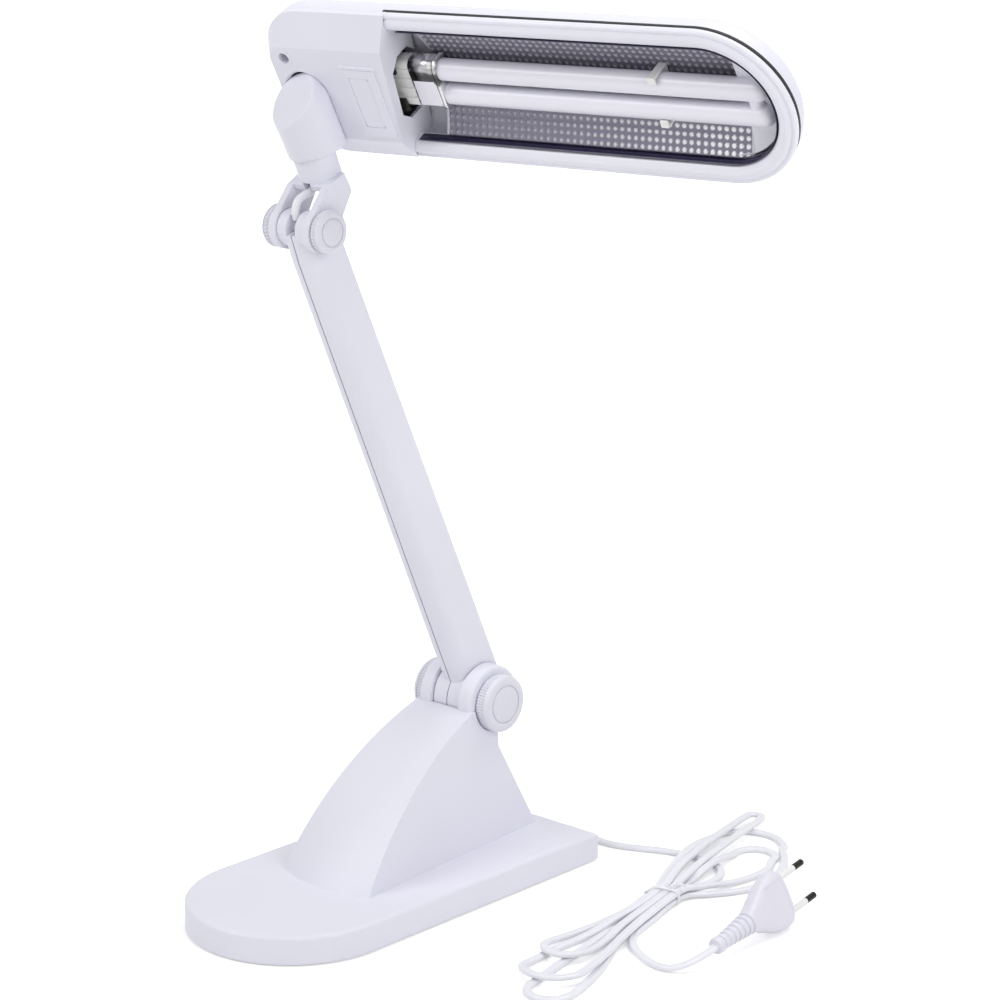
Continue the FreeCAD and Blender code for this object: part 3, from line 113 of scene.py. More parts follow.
def grain(nodes, links, shader, size, depth, strength):
    """A fine even grain in the bump, its size and depth in metres."""
    place = nodes.new("ShaderNodeTexCoord")
    noise = nodes.new("ShaderNodeTexNoise")
    noise.inputs["Scale"].default_value = 1 / size
    noise.inputs["Detail"].default_value = 3
    bump = nodes.new("ShaderNodeBump")
    bump.inputs["Distance"].default_value = depth
    bump.inputs["Strength"].default_value = strength
    links.new(place.outputs["Object"], noise.inputs["Vector"])
    links.new(noise.outputs["Fac"], bump.inputs["Height"])
    links.new(bump.outputs["Normal"], shader.inputs["Normal"])
    return place


def moulded(name, colour, roughness, size=0.0006, depth=0.00004, strength=0.5, shift=0.03):
    """Moulded plastic: fine grain, with a slow and slight change of tone over the piece."""
    material, nodes, links, shader = new_material(name)
    place = grain(nodes, links, shader, size, depth, strength)
    slow = nodes.new("ShaderNodeTexNoise")
    slow.inputs["Scale"].default_value = 14
    slow.inputs["Detail"].default_value = 2
    ramp = nodes.new("ShaderNodeValToRGB")
    ramp.color_ramp.elements[0].position = 0.3
    ramp.color_ramp.elements[1].position = 0.7
    ramp.color_ramp.elements[0].color = [channel * (1 - shift) for channel in colour[:3]] + [1]
    ramp.color_ramp.elements[1].color = colour
    links.new(place.outputs["Object"], slow.inputs["Vector"])
    links.new(slow.outputs["Fac"], ramp.inputs["Fac"])
    links.new(ramp.outputs["Color"], shader.inputs["Base Color"])
    shader.inputs["Roughness"].default_value = roughness
    shader.inputs["Specular IOR Level"].default_value = 0.4
    return material


shell_white = moulded("shell_white", srgb(229, 229, 240), 0.46)
knob_white = moulded("knob_white", srgb(224, 224, 234), 0.42, size=0.0004, depth=0.00002)
bezel_white = moulded("bezel_white", srgb(235, 235, 245), 0.3, size=0.0012, depth=0.00002)
cap_white = moulded("cap_white", srgb(238, 238, 236), 0.35, size=0.0005, depth=0.00002)
cover_grey = moulded("cover_grey", srgb(190, 190, 194), 0.55)
switch_black = moulded("switch_black", srgb(34, 34, 36), 0.3, depth=0.00002)
sheath_white = moulded("sheath_white", srgb(236, 236, 243), 0.35, size=0.0005, depth=0.00002)
plug_white = moulded("plug_white", srgb(225, 224, 235), 0.4, size=0.0005, depth=0.00003)
tie_white = moulded("tie_white", srgb(242, 242, 245), 0.3, size=0.0005, depth=0.00002)
holder_dark = moulded("holder_dark", srgb(36, 37, 35), 0.5)
# painted shade in the seam of the head
seam_shade_black = moulded("seam_shade_black", srgb(26, 26, 30), 0.6, size=0.0005, depth=0.00002)
# painted shade in the arm's parting groove
groove_shade_grey = moulded("groove_shade_grey", srgb(118, 118, 130), 0.6, size=0.0005, depth=0.00001)
# painted shade inside the mouth, between mirror and frame
mouth_shade_navy = moulded("mouth_shade_navy", srgb(32, 26, 62), 0.3, size=0.0008, depth=0.00002)
foot_rubber = moulded("foot_rubber", srgb(40, 40, 42), 0.8)
board_brown = moulded("terminal_white", srgb(225, 224, 216), 0.5)

# %% [markdown]
# ## Metals and glass
# Plated steel shows faint lines from rolling. They are a noise stretched along one axis, and they
# change the roughness, not the colour. The tube's glass looks white because of the powder inside,
# so it is a glossy white with a little light passing through, not clear glass.

# %% Metals and the coated glass
def plated(name, colour, roughness, lines=(40, 900, 900)):
    material, nodes, links, shader = new_material(name)
    place = nodes.new("ShaderNodeTexCoord")
    stretch = nodes.new("ShaderNodeMapping")
    stretch.inputs["Scale"].default_value = lines
    noise = nodes.new("ShaderNodeTexNoise")
    noise.inputs["Scale"].default_value = 1
    noise.inputs["Detail"].default_value = 4
    spread = map_range(nodes, 0, 1, roughness * 0.7, roughness * 1.3)
    links.new(place.outputs["Object"], stretch.inputs["Vector"])
    links.new(stretch.outputs["Vector"], noise.inputs["Vector"])
    links.new(noise.outputs["Fac"], spread.inputs["Value"])
    links.new(spread.outputs["Result"], shader.inputs["Roughness"])
    shader.inputs["Metallic"].default_value = 1
    shader.inputs["Base Color"].default_value = colour
    return material


steel = plated("zinc_steel", srgb(196, 196, 200), 0.3)
band_metal = plated("band_metal", srgb(226, 226, 230), 0.14)
pin_nickel = plated("pin_nickel", srgb(52, 50, 50), 0.28)
brass = plated("contact_brass", srgb(206, 170, 92), 0.3)
core_steel = plated("core_steel", srgb(120, 120, 124), 0.5, lines=(40, 40, 3000))
cast_weight = moulded("cast_weight", srgb(64, 64, 68), 0.75, size=0.002, depth=0.0003)
winding_tape = moulded("winding_tape", srgb(196, 120, 60), 0.55, size=0.001, depth=0.0001)

tube_glass, nodes, links, shader = new_material("tube_glass")
grain(nodes, links, shader, 0.0008, 0.000004, 0.1)
shader.inputs["Base Color"].default_value = srgb(234, 233, 243)
shader.inputs["Roughness"].default_value = 0.32
shader.inputs["Coat Weight"].default_value = 0.25
shader.inputs["Coat Roughness"].default_value = 0.12
shader.inputs["Subsurface Weight"].default_value = 0.15
shader.inputs["Subsurface Radius"].default_value = (0.004, 0.004, 0.004)

# %% [markdown]
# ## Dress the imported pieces
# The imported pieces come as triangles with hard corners. Three modifiers soften them without
# touching their vertices: Weld joins the split corners, Decimate turns flat areas back into single
# faces, and Bevel rounds the sharp edges by a fraction of a millimetre, as a mould does.

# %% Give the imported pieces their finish
def weld(piece, distance=0.00002):
    modifier = piece.modifiers.new("weld", "WELD")
    modifier.merge_threshold = distance


def round_edges(piece, width, segments=2, angle=50, harden=False):
    """Round the edges that turn by more than the angle, in degrees."""
    bevel = piece.modifiers.new("edges", "BEVEL")
    bevel.width = width
    bevel.segments = segments
    bevel.limit_method = "ANGLE"
    bevel.angle_limit = math.radians(angle)
    bevel.harden_normals = harden


def soften(piece, width, angle=28, segments=2):
    for name in ("custom_normal", "sharp_face", "sharp_edge"):
        attribute = piece.data.attributes.get(name)
        if attribute is not None:
            piece.data.attributes.remove(attribute)
    piece.data.shade_smooth()
    weld(piece)
    flat = piece.modifiers.new("flat", "DECIMATE")
    flat.decimate_type = "DISSOLVE"
    flat.angle_limit = math.radians(0.6)
    round_edges(piece, width, segments, angle, harden=True)


def dress(names, material, width=0.0004, angle=28, segments=2):
    for name in names.split():
        piece = lamp[name]
        piece.data.materials.clear()
        piece.data.materials.append(material)
        if width:
            soften(piece, width, angle, segments)


dress("base_shell", shell_white, 0.0016, segments=3)
dress("arm_half_left arm_half_right neck_yoke swivel_cup head_top_shell head_housing", shell_white, 0.0006)
dress("bezel_frame", bezel_white, 0.0006)
dress("lower_knob_right lower_knob_left upper_knob_right upper_knob_left", knob_white, 0.00015)
dress("base_cover", cover_grey)
dress("cover_posts", shell_white)
dress("rubber_feet", foot_rubber)
dress("base_screws arm_screws head_screw lower_bolt lower_washers upper_bolt neck_nut", steel, 0.00015)
dress("choke_core", core_steel)
dress("choke_coil", winding_tape)
dress("base_weight", cast_weight)
dress("terminal_block cord_clamp", board_brown)
dress("cord_bush inner_cord arm_cable neck_cable", sheath_white, 0)
dress("lamp_cap tube_clip", cap_white, 0.0003)
dress("lamp_holder", holder_dark, 0.0003)
dress("lamp_band", band_metal, 0.0003)
dress("lamp_pins", brass, 0.0002)
dress("lamp_tube", tube_glass, 0)
dress("switch_body rocker_switch", switch_black, 0.0003)
dress("reflector", band_metal, 0)
dress("plug_body", plug_white, 0.0006)
dress("plug_pins", pin_nickel, 0.0002)
dress("pin_sleeves cord_tie", cap_white, 0)
dress("cord_lead cord_hank cord_tail", sheath_white, 0)

# %% [markdown]
# ## The dimpled mirror
# Behind the tube lies a thin bright sheet, bent into a shallow trough and pressed with rows of round
# dimples that scatter the light. A bump texture would vanish at this low angle, so the dimples are
# real: a fine grid of points follows the trough, and each point rises where a dimple is. The sheet's
# colour is painted reflection: dark grey between the dimples and painted glints on them.

# %% The head's own frame
HEAD = (Matrix.Translation((0.0744, -0.01908, 0.4776))
        @ Matrix.Rotation(math.radians(8), 4, "Z") @ Matrix.Rotation(math.radians(121), 4, "X"))
END = 0.1673  # the middle of the mouth's half circle, along the tube


def in_scene(name, data, place=None):
    piece = bpy.data.objects.new(name, data)
    bpy.context.scene.collection.objects.link(piece)
    if place is not None:
        piece.matrix_world = place
    return piece


def smooth_mesh(name, vertices, faces, material):
    mesh = bpy.data.meshes.new(name)
    mesh.from_pydata(vertices, [], faces)
    mesh.shade_smooth()
    mesh.materials.append(material)
    return mesh


def in_head(name, vertices, faces, material, body="head"):
    """A piece drawn in the head's frame: X along the tube, Y across, Z out of the mouth."""
    piece = in_scene(name, smooth_mesh(name, vertices, faces, material), HEAD)
    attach(piece, body)
    return piece


def grid_faces(rows, columns):
    """Squares between rows of points, each row as long as columns."""
    return [(a, a + 1, a + columns + 1, a + columns)
            for row in range(rows - 1) for a in range(row * columns, (row + 1) * columns - 1)]


# %% Press the dimples into the sheet
# the sheet's two ends along the tube, half its width, the depth of its middle and the height of its edges
START, STOP, EDGE, DEEP, RISE = -0.0080, 0.1790, 0.0343, -0.0096, 0.0016
bend = (EDGE ** 2 + (RISE - DEEP) ** 2) / (2 * (RISE - DEEP))
# the step from dimple to dimple, the radius of one and its height
PITCH, DIMPLE, DIMPLE_HIGH = 0.0041, 0.00155, 0.00045
rows, columns = 375, 151
points, glint_levels = [], []
for i in range(rows):
    along = START + (STOP - START) * i / (rows - 1)
    edge = min(EDGE, math.sqrt(max(0, (EDGE + 0.0001) ** 2 - max(0, along - END) ** 2)))
    widest = math.asin(edge / bend)
    for j in range(columns):
        turn = widest * (2 * j / (columns - 1) - 1)
        arc = bend * turn
        step_x = (along - START - 0.0030) / PITCH
        step_y = arc / PITCH - 0.5
        away = math.hypot(step_x - round(step_x), step_y - round(step_y)) * PITCH
        inside = 0.0016 < along - START < STOP - START - 0.0016
        dome = math.sqrt(max(0.0, 1 - (away / DIMPLE) ** 2)) if inside else 0.0
        reach = bend - DIMPLE_HIGH * dome
        points.append((along, reach * math.sin(turn), DEEP + bend - reach * math.cos(turn)))
        # Painted reflection: glints on the lower half are bright on the right and fade to the left, the
        # upper half keeps a dim level, light rings round the left dimples are painted glints, and the plain
        # border is a lighter painted reflection
        wide = min(1, max(0, (along - 0.04) / 0.13)) if turn < 0 else 0.35
        glint_light = min(1, max(0, (dome - 0.80 + 0.34 * wide) / 0.14)) * (0.24 + 0.72 * wide)
        rim = 0.22 * min(1, max(0, 1 - abs(dome - 0.3) / 0.3)) * (1 - wide)
        glint_levels.append(min(1, glint_light + rim) if inside else 0.62)
# The colour runs from a dark grey painted reflection between the dimples to white painted glints
mirror_painted_reflection, nodes, links, shader = new_material("mirror_painted_reflection")
shader.inputs["Metallic"].default_value = 0.2
shader.inputs["Roughness"].default_value = 0.38
shader.inputs["Specular IOR Level"].default_value = 0.15
painted_glint = nodes.new("ShaderNodeAttribute")
painted_glint.attribute_name = "painted_glint"
tone = nodes.new("ShaderNodeValToRGB")
tone.color_ramp.elements[0].position = 0.0
tone.color_ramp.elements[0].color = (0.23, 0.22, 0.28, 1)
tone.color_ramp.elements[1].position = 1.0
tone.color_ramp.elements[1].color = (0.95, 0.95, 0.98, 1)
links.new(painted_glint.outputs["Fac"], tone.inputs["Fac"])
links.new(tone.outputs["Color"], shader.inputs["Base Color"])
mirror = in_head("dimpled_mirror", points, grid_faces(rows, columns), mirror_painted_reflection)
marks = mirror.data.attributes.new("painted_glint", "FLOAT", "POINT")
marks.data.foreach_set("value", glint_levels)
skin = mirror.modifiers.new("sheet", "SOLIDIFY")
skin.thickness = 0.0004
skin.offset = 1
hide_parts("reflector")
print("mirror", len(points), "points,", round(1000 * bend, 1), "mm bend")

# %% [markdown]
# ## Painted shade round the mouth
# A black band in the seam between the top shell and the frame is painted shade, and so is a dark
# blue band on the frame's inner wall. Both are ribbons along the same outline: straight, round the
# half circle, and back.

# %% Ribbons round the mouth
def mouth_outline(half, left, left_low):
    """Places along the outline of the head at one half width, from the upper side to the lower."""
    places = [(left + (END - left) * i / 40, half) for i in range(40)]
    places += [(END + half * math.sin(math.pi * i / 64), half * math.cos(math.pi * i / 64))
               for i in range(65)]
    places += [(END + (left_low - END) * i / 40, -half) for i in range(1, 41)]
    return places


def ribbon(name, half, left, left_low, low, high, thick, material):
    places = mouth_outline(half, left, left_low)
    levels = [low, low + (high - low) * 0.5, high]
    vertices = [(x, y, z) for x, y in places for z in levels]
    piece = in_head(name, vertices, grid_faces(len(places), len(levels)), material)
    thicken = piece.modifiers.new("thick", "SOLIDIFY")
    thicken.thickness = thick
    thicken.offset = 0
    return piece


# painted shade: a black band in the seam between the top shell and the frame
seam_shade = ribbon("seam_painted_shade", 0.0453, -0.0176, 0.0, 0.0031, 0.0056, 0.0005, seam_shade_black)
# painted shade: a dark blue band on the frame's inner wall, between mirror and frame
mouth_shade = ribbon("mouth_painted_shade", 0.03465, -0.012, -0.0230, 0.0016, 0.0074, 0.0002, mouth_shade_navy)

# %% [markdown]
# ## The rounded frame
# The frame round the mouth is a soft roll with a small lip outside it. Its section is drawn once as
# steps inward and heights, and swept round the outline. On the left it ends on the slanted wall of
# the recess, so each line of the sweep starts where it meets that wall.

# %% Sweep the frame's section
# half the frame's width outside, and how far the recess wall leans across the tube
FRAME_HALF, SLOPE = 0.0459, math.radians(7.5)
# (distance inwards from the outer side, height)
section = [(0, 0.0056), (0, 0.0068), (0.0003, 0.0077), (0.0009, 0.0083), (0.0016, 0.0085),
           (0.0022, 0.0083), (0.0026, 0.0080), (0.0030, 0.0082), (0.0038, 0.0089), (0.0050, 0.0094),
           (0.0064, 0.0095), (0.0078, 0.0092), (0.0090, 0.0085), (0.0099, 0.0075), (0.0106, 0.0062),
           (0.0110, 0.0046), (0.0111, 0.0005), (0.0096, 0.0005), (0.0096, 0.0056)]
WALL_AT = -0.021


def on_wall(y, clear=0.0002):
    """Where a line along X at one Y meets the slanted wall of the recess."""
    return WALL_AT + (clear + math.sin(SLOPE) * y) / math.cos(SLOPE)


vertices, faces = [], []
stops = [("upper", i / 24) for i in range(24)] + [("round", math.pi * i / 72) for i in range(73)]
stops += [("lower", i / 24) for i in range(1, 25)]
for part, share in stops:
    for inward, height in section:
        half = FRAME_HALF - inward
        if part == "upper":
            first = on_wall(half)
            vertices.append((first + (END - first) * share, half, height))
        elif part == "round":
            vertices.append((END + half * math.sin(share), half * math.cos(share), height))
        else:
            last = on_wall(-half)
            vertices.append((END + (last - END) * share, -half, height))
count = len(section)
faces = [(i * count + j, (i + 1) * count + j, (i + 1) * count + (j + 1) % count, i * count + (j + 1) % count)
         for i in range(len(stops) - 1) for j in range(count)]
faces += [tuple(range(count)), tuple(range(len(vertices) - count, len(vertices)))[::-1]]
frame_roll = in_head("mouth_frame", vertices, faces, bezel_white)
round_edges(frame_roll, 0.0002)
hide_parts("bezel_frame")

# %% Plain plate behind the tube's end
# half the plate's width, where it begins along the tube, and the depth of its middle
PLATE_HALF, PLATE_FROM, PLATE_DEEP = 0.0338, 0.1803, -0.0035
vertices = []
for i in range(25):
    for j in range(33):
        y = PLATE_HALF * (j / 16 - 1)
        far = END + math.sqrt(max(0, (PLATE_HALF + 0.0001) ** 2 - y * y))
        near = min(PLATE_FROM, far)
        high = PLATE_DEEP + 0.0038 * (y / PLATE_HALF) ** 2 + 0.0008 * i / 24
        vertices.append((near + (far - near) * i / 24, y, high))
end_plate = in_head("end_plate", vertices, grid_faces(25, 33), bezel_white)
back = end_plate.modifiers.new("back", "SOLIDIFY")
back.thickness = 0.0010
back.offset = -1
weld(end_plate)

# %% [markdown]
# ## The swivel cup
# The cup is a barrel that the head turns on. Its top is a dome that is cut off by a slanted flat, and
# its lower rim stands square to the neck with a thin gap round it. The top is drawn as heights over
# a round plan, where the lower of dome and flat counts, blended so that the edge is soft.

# %% Model the cup
# the barrel's axis, its radius, its rim, and the height at which the dome begins
CUP_X, CUP_Z, CUP_HALF, CUP_LOW, DOME_FROM = -0.07625, 0.0271, 0.01655, -0.0301, -0.0006
# the way the flat faces, and its distance that way
FLAT, FLAT_AT = Vector((-0.28, 0.83, 0.48)), 0.0387
to_head = HEAD.inverted()
# the neck leans back from the upper hinge, and its axis stands a little ahead of it
NECK_LEAN, NECK_AHEAD, HINGE_Y, HINGE_Z = math.radians(23), 0.0228, -0.0486, 0.3955
pivot = to_head @ Vector((0, HINGE_Y + NECK_AHEAD * math.cos(NECK_LEAN),
                          HINGE_Z + NECK_AHEAD * math.sin(NECK_LEAN)))
swivel = (to_head.to_3x3() @ Vector((0, -math.sin(NECK_LEAN), math.cos(NECK_LEAN)))).normalized()
RIM_TILT, STEM = 1.4, 0.0124


def lowest(a, b, soft):
    """The lower of two heights, rounded where they cross."""
    near = max(0, soft - abs(a - b)) / soft
    return min(a, b) - near * near * soft / 4


def cup_top(x, z):
    flat_high = (FLAT_AT - FLAT.x * (CUP_X + x) - FLAT.z * (CUP_Z + z)) / FLAT.y
    dome_high = DOME_FROM + math.sqrt(max(0, CUP_HALF ** 2 - x * x - z * z))
    return lowest(flat_high, dome_high, 0.0016)


def square_to_neck(x, z, low):
    """Height of the rim: a plane square to the swivel axis, tilted on by a factor."""
    return low - (swivel.x * x + swivel.z * z) / swivel.y * RIM_TILT


round_count, turns = 40, 128
vertices = [(CUP_X, cup_top(0, 0), CUP_Z)]
for k in range(1, round_count + 1):
    reach = CUP_HALF * math.sin(0.5 * math.pi * k / round_count)
    for j in range(turns):
        x, z = reach * math.cos(2 * math.pi * j / turns), reach * math.sin(2 * math.pi * j / turns)
        vertices.append((CUP_X + x, cup_top(x, z), CUP_Z + z))
rim_top = [vertices[-turns + j][1] for j in range(turns)]
for k in range(1, 13):
    for j in range(turns):
        x, z = CUP_HALF * math.cos(2 * math.pi * j / turns), CUP_HALF * math.sin(2 * math.pi * j / turns)
        low = square_to_neck(x, z, CUP_LOW)
        vertices.append((CUP_X + x, rim_top[j] + (low - rim_top[j]) * k / 12, CUP_Z + z))
middle = pivot + swivel * ((CUP_LOW - pivot.y) / swivel.y)
for rise in (0, 0.0012, 0.0120):
    for j in range(turns):
        x, z = STEM * math.cos(2 * math.pi * j / turns), STEM * math.sin(2 * math.pi * j / turns)
        low = square_to_neck(x, z, CUP_LOW) + rise
        vertices.append((middle.x + x + swivel.x * rise, low, middle.z + z + swivel.z * rise))
rings = round_count + 12 + 3
faces = [(0, 1 + j, 1 + (j + 1) % turns) for j in range(turns)]
faces += [(1 + k * turns + j, 1 + (k + 1) * turns + j,
           1 + (k + 1) * turns + (j + 1) % turns, 1 + k * turns + (j + 1) % turns)
          for k in range(rings - 1) for j in range(turns)]
faces.append(tuple(1 + (rings - 1) * turns + j for j in range(turns)))
cup = in_head("barrel_cup", vertices, faces, shell_white)
round_edges(cup, 0.0004)
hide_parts("swivel_cup")
print("cup", len(vertices), "points")

# %% [markdown]
# ## Raised details of the housing
# The housing carries a rounded pad, a ledge above it and one below it. They are thin plates with
# softened edges that stand on its face.

# %% Pads and ledges
def plate_on_face(name, corners, low, high, radius):
    """A flat plate with rounded corners, drawn in the head's X and Y."""
    outline = []
    for before, here, after in zip(corners[-1:] + corners[:-1], corners, corners[1:] + corners[:1]):
        corner = Vector(here)
        first = corner + (Vector(before) - corner).normalized() * radius
        last = corner + (Vector(after) - corner).normalized() * radius
        outline += [tuple(first.lerp(corner, t).lerp(corner.lerp(last, t), t))
                    for t in (0, 0.25, 0.5, 0.75, 1)]
    total = len(outline)
    vertices = [(x, y, z) for z in (low, high) for x, y in outline]
    faces = [tuple(range(total))[::-1], tuple(range(total, 2 * total))]
    faces += [(j, (j + 1) % total, total + (j + 1) % total, total + j) for j in range(total)]
    piece = in_head(name, vertices, faces, shell_white)
    round_edges(piece, 0.0004, 3, harden=True)
    return piece


def box_corners(left, right, bottom, top):
    return [(left, bottom), (right, bottom), (right, top), (left, top)]


plate_on_face("housing_pad", box_corners(-0.0434, -0.0306, -0.0190, 0.0126), 0.0186, 0.0196, 0.0026)
plate_on_face("upper_ledge", box_corners(-0.0480, -0.0250, 0.0176, 0.0196), 0.0180, 0.0195, 0.0006)
plate_on_face("lower_ledge", box_corners(-0.0440, -0.0250, -0.0258, -0.0244), 0.0180, 0.0195, 0.0005)

# %% [markdown]
# ## The lamp's metal band
# The glass is crimped into a bright band: a flattened tube with a collar at the glass end. A pale
# blank plate covers the lower part of its face. The section is a rounded rectangle, and the band
# is that section at a few places along the tube, a little wider at the collar.

# %% Band, collar and plate
def rounded(half_y, half_z, corner, steps=8):
    """A rounded rectangle of points, anticlockwise."""
    places = []
    for way_y, way_z, start in ((1, 1, 0), (-1, 1, 90), (-1, -1, 180), (1, -1, 270)):
        for i in range(steps + 1):
            turn = math.radians(start + 90 * i / steps)
            places.append((way_y * (half_y - corner) + corner * math.cos(turn),
                           way_z * (half_z - corner) + corner * math.sin(turn)))
    return places


def sleeve(name, sections, material):
    """A closed tube through sections of (x, half_y, half_z, corner)."""
    rings = [[(x, y, z) for y, z in rounded(*size)] for x, *size in sections]
    count = len(rings[0])
    vertices = [place for one in rings for place in one]
    faces = [(i * count + j, i * count + (j + 1) % count,
              (i + 1) * count + (j + 1) % count, (i + 1) * count + j)
             for i in range(len(rings) - 1) for j in range(count)]
    faces += [tuple(range(count))[::-1], tuple(range(len(vertices) - count, len(vertices)))]
    return in_head(name, vertices, faces, material)


# The band's colour is painted reflection: light and dark stripes across it, with a wobbly edge, stand in for
# what the chrome reflects
chrome_painted_reflection, nodes, links, shader = new_material("chrome_painted_reflection")
shader.inputs["Metallic"].default_value = 1
shader.inputs["Roughness"].default_value = 0.26
place = nodes.new("ShaderNodeTexCoord")
apart = nodes.new("ShaderNodeSeparateXYZ")
wave = nodes.new("ShaderNodeTexNoise")
wave.inputs["Scale"].default_value = 260
bent = nodes.new("ShaderNodeMath")
bent.operation = "MULTIPLY_ADD"
bent.inputs[1].default_value = 0.004
tone = nodes.new("ShaderNodeValToRGB")
tone.color_ramp.interpolation = "B_SPLINE"
for position, level in ((0.0, 0.75), (0.55, 0.70), (0.60, 0.05), (0.80, 0.03), (0.84, 0.55), (0.90, 0.06)):
    stop = tone.color_ramp.elements.new(position)
    stop.color = (level, level, level * 1.02, 1)
fit = map_range(nodes, -0.015, 0.017, 0, 1)
links.new(place.outputs["Object"], apart.inputs["Vector"])
links.new(place.outputs["Object"], wave.inputs["Vector"])
links.new(wave.outputs["Fac"], bent.inputs[0])
links.new(apart.outputs["Y"], bent.inputs[2])
links.new(bent.outputs["Value"], fit.inputs["Value"])
links.new(fit.outputs["Result"], tone.inputs["Fac"])
links.new(tone.outputs["Color"], shader.inputs["Base Color"])
BAND = [(-0.0140, 0.0144, 0.0058, 0.0048), (-0.0137, 0.0150, 0.0063, 0.0050),
        (0.0008, 0.0150, 0.0063, 0.0050), (0.0012, 0.0146, 0.0059, 0.0048),
        (0.0018, 0.0146, 0.0059, 0.0048), (0.0021, 0.0160, 0.0072, 0.0060),
        (0.0036, 0.0160, 0.0072, 0.0060), (0.0040, 0.0156, 0.0068, 0.0058)]
band = sleeve("metal_band", BAND, chrome_painted_reflection)
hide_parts("lamp_band")
plate_metal = plated("plate_metal", srgb(214, 213, 220), 0.45)
plate_corners = box_corners(-0.0128, 0.0004, -0.0118, 0.0034)
plate = in_head("blank_plate", [(x, y, z) for z in (0.0062, 0.00645) for x, y in plate_corners],
                [(0, 3, 2, 1), (4, 5, 6, 7), (0, 1, 5, 4), (1, 2, 6, 5), (2, 3, 7, 6), (3, 0, 4, 7)],
                plate_metal)
plate.data.shade_flat()
soften(plate, 0.0001)

# %% [markdown]
# ## The clamp knobs
# Each hinge is clamped by a pair of round knobs with a ribbed grip near the arm, a smooth bevelled
# band outside it, and a sunk ring round a raised cap. A knob is one profile turned round the hinge
# axis, and in the grip the radius swings between rib and valley.

# %% Turn the ribbed knobs
RIB_DEEP = 0.0010


def knob_mesh(radius, long, cap, ribs):
    """Points of a knob along +X, from its inner face outwards."""
    grip = long * 0.66
    inner = [(0.004, 0, 0), (radius - 0.0022, 0, 0), (radius - 0.0006, 0.0008, 0)]
    ribbed_grip = [(radius - 0.0006, 0.0009, 0), (radius, 0.0012, 1), (radius, grip - 0.0003, 1),
                   (radius - 0.0006, grip, 0)]
    outer = [(radius, grip + 0.0002, 0), (radius, long - 0.0018, 0), (radius - 0.0004, long - 0.0011, 0),
             (radius - 0.0015, long - 0.0002, 0), (cap + 0.0011, long, 0)]
    sunk_ring = [(cap + 0.0009, long - 0.0001, 0), (cap + 0.0009, long - 0.0007, 0),
                 (cap + 0.0002, long - 0.0007, 0), (cap + 0.0001, long - 0.0001, 0)]
    raised_cap = [(cap - 0.0003, long + 0.00015, 0), (cap * 0.6, long + 0.00025, 0),
                  (cap * 0.2, long + 0.0003, 0)]
    profile = inner + ribbed_grip + outer + sunk_ring + raised_cap
    turns = ribs * 8
    vertices = []
    for reach, at, ribbed in profile:
        for j in range(turns):
            swing = 0.5 + 0.5 * math.cos(2 * math.pi * j / 8)
            here = reach - ribbed * RIB_DEEP * (1 - swing ** 0.7)
            round_at = 2 * math.pi * j / turns
            vertices.append((at, here * math.cos(round_at), here * math.sin(round_at)))
    faces = [(i * turns + j, i * turns + (j + 1) % turns,
              (i + 1) * turns + (j + 1) % turns, (i + 1) * turns + j)
             for i in range(len(profile) - 1) for j in range(turns)]
    faces += [tuple(range(turns))[::-1], tuple(range(len(vertices) - turns, len(vertices)))]
    return vertices, faces


def turn_knob(node, body, size, start, y, z, side):
    vertices, faces = knob_mesh(*size)
    facing = Matrix.Rotation(0 if side > 0 else math.pi, 4, "Z")
    place = Matrix.Translation((side * start, y, z)) @ facing
    piece = in_scene(node + "_turned", smooth_mesh(node + "_turned", vertices, faces, knob_white), place)
    crisp = piece.modifiers.new("crisp", "EDGE_SPLIT")
    crisp.split_angle = math.radians(50)
    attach(piece, body)
    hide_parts(node)
    return piece


# radius, length, radius of the cap, number of ribs
LARGE, SMALL = (0.0170, 0.0092, 0.0107, 60), (0.0119, 0.0062, 0.0072, 36)
for node, body, size, side in (
        ("lower_knob_right", "lower_knob_a", LARGE, 1), ("lower_knob_left", "lower_knob_b", LARGE, -1),
        ("upper_knob_right", "upper_knob_a", SMALL, 1), ("upper_knob_left", "upper_knob_b", SMALL, -1)):
    low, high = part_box(node)
    start = low[0] if side > 0 else -high[0]
    turn_knob(node, body, size, start, (low[1] + high[1]) / 2, (low[2] + high[2]) / 2, side)
    print(node, "from", round(1000 * start, 2), "mm")

# %% [markdown]
# ## The parting line of the arm
# The two moulded halves of the arm meet down the middle in a groove, and its shade is painted: a
# hair-thin grey cord follows the outline of the face where they meet, taken from the imported half.

# %% Lay the parting line
half_mesh = lamp["arm_half_right"].data
flat_faces = [face for face in half_mesh.polygons
              if all(abs(half_mesh.vertices[i].co.x) < 0.00002 for i in face.vertices)]
uses = {}
for face in flat_faces:
    for key in face.edge_keys:
        places = tuple(sorted(tuple(round(1e5 * n) for n in half_mesh.vertices[i].co) for i in key))
        uses[places] = uses.get(places, 0) + 1
links_of = {}
for (a, b), times in uses.items():
    if times == 1 and a != b:
        links_of.setdefault(a, []).append(b)
        links_of.setdefault(b, []).append(a)
loops, seen_points = [], set()
for begin in sorted(links_of):
    if begin in seen_points:
        continue
    loop, here, came = [begin], links_of[begin][0], begin
    seen_points.add(begin)
    while here != begin and here not in seen_points:
        loop.append(here)
        seen_points.add(here)
        onward = [other for other in links_of[here] if other != came]
        if not onward:
            break
        came, here = here, onward[0]
    loops.append(loop)


def height_of(loop):
    """How high a loop reaches, with its number of points to part loops of one height."""
    return max(place[2] for place in loop) - min(place[2] for place in loop) + 0.001 * len(loop)


longest = max(loops, key=height_of)
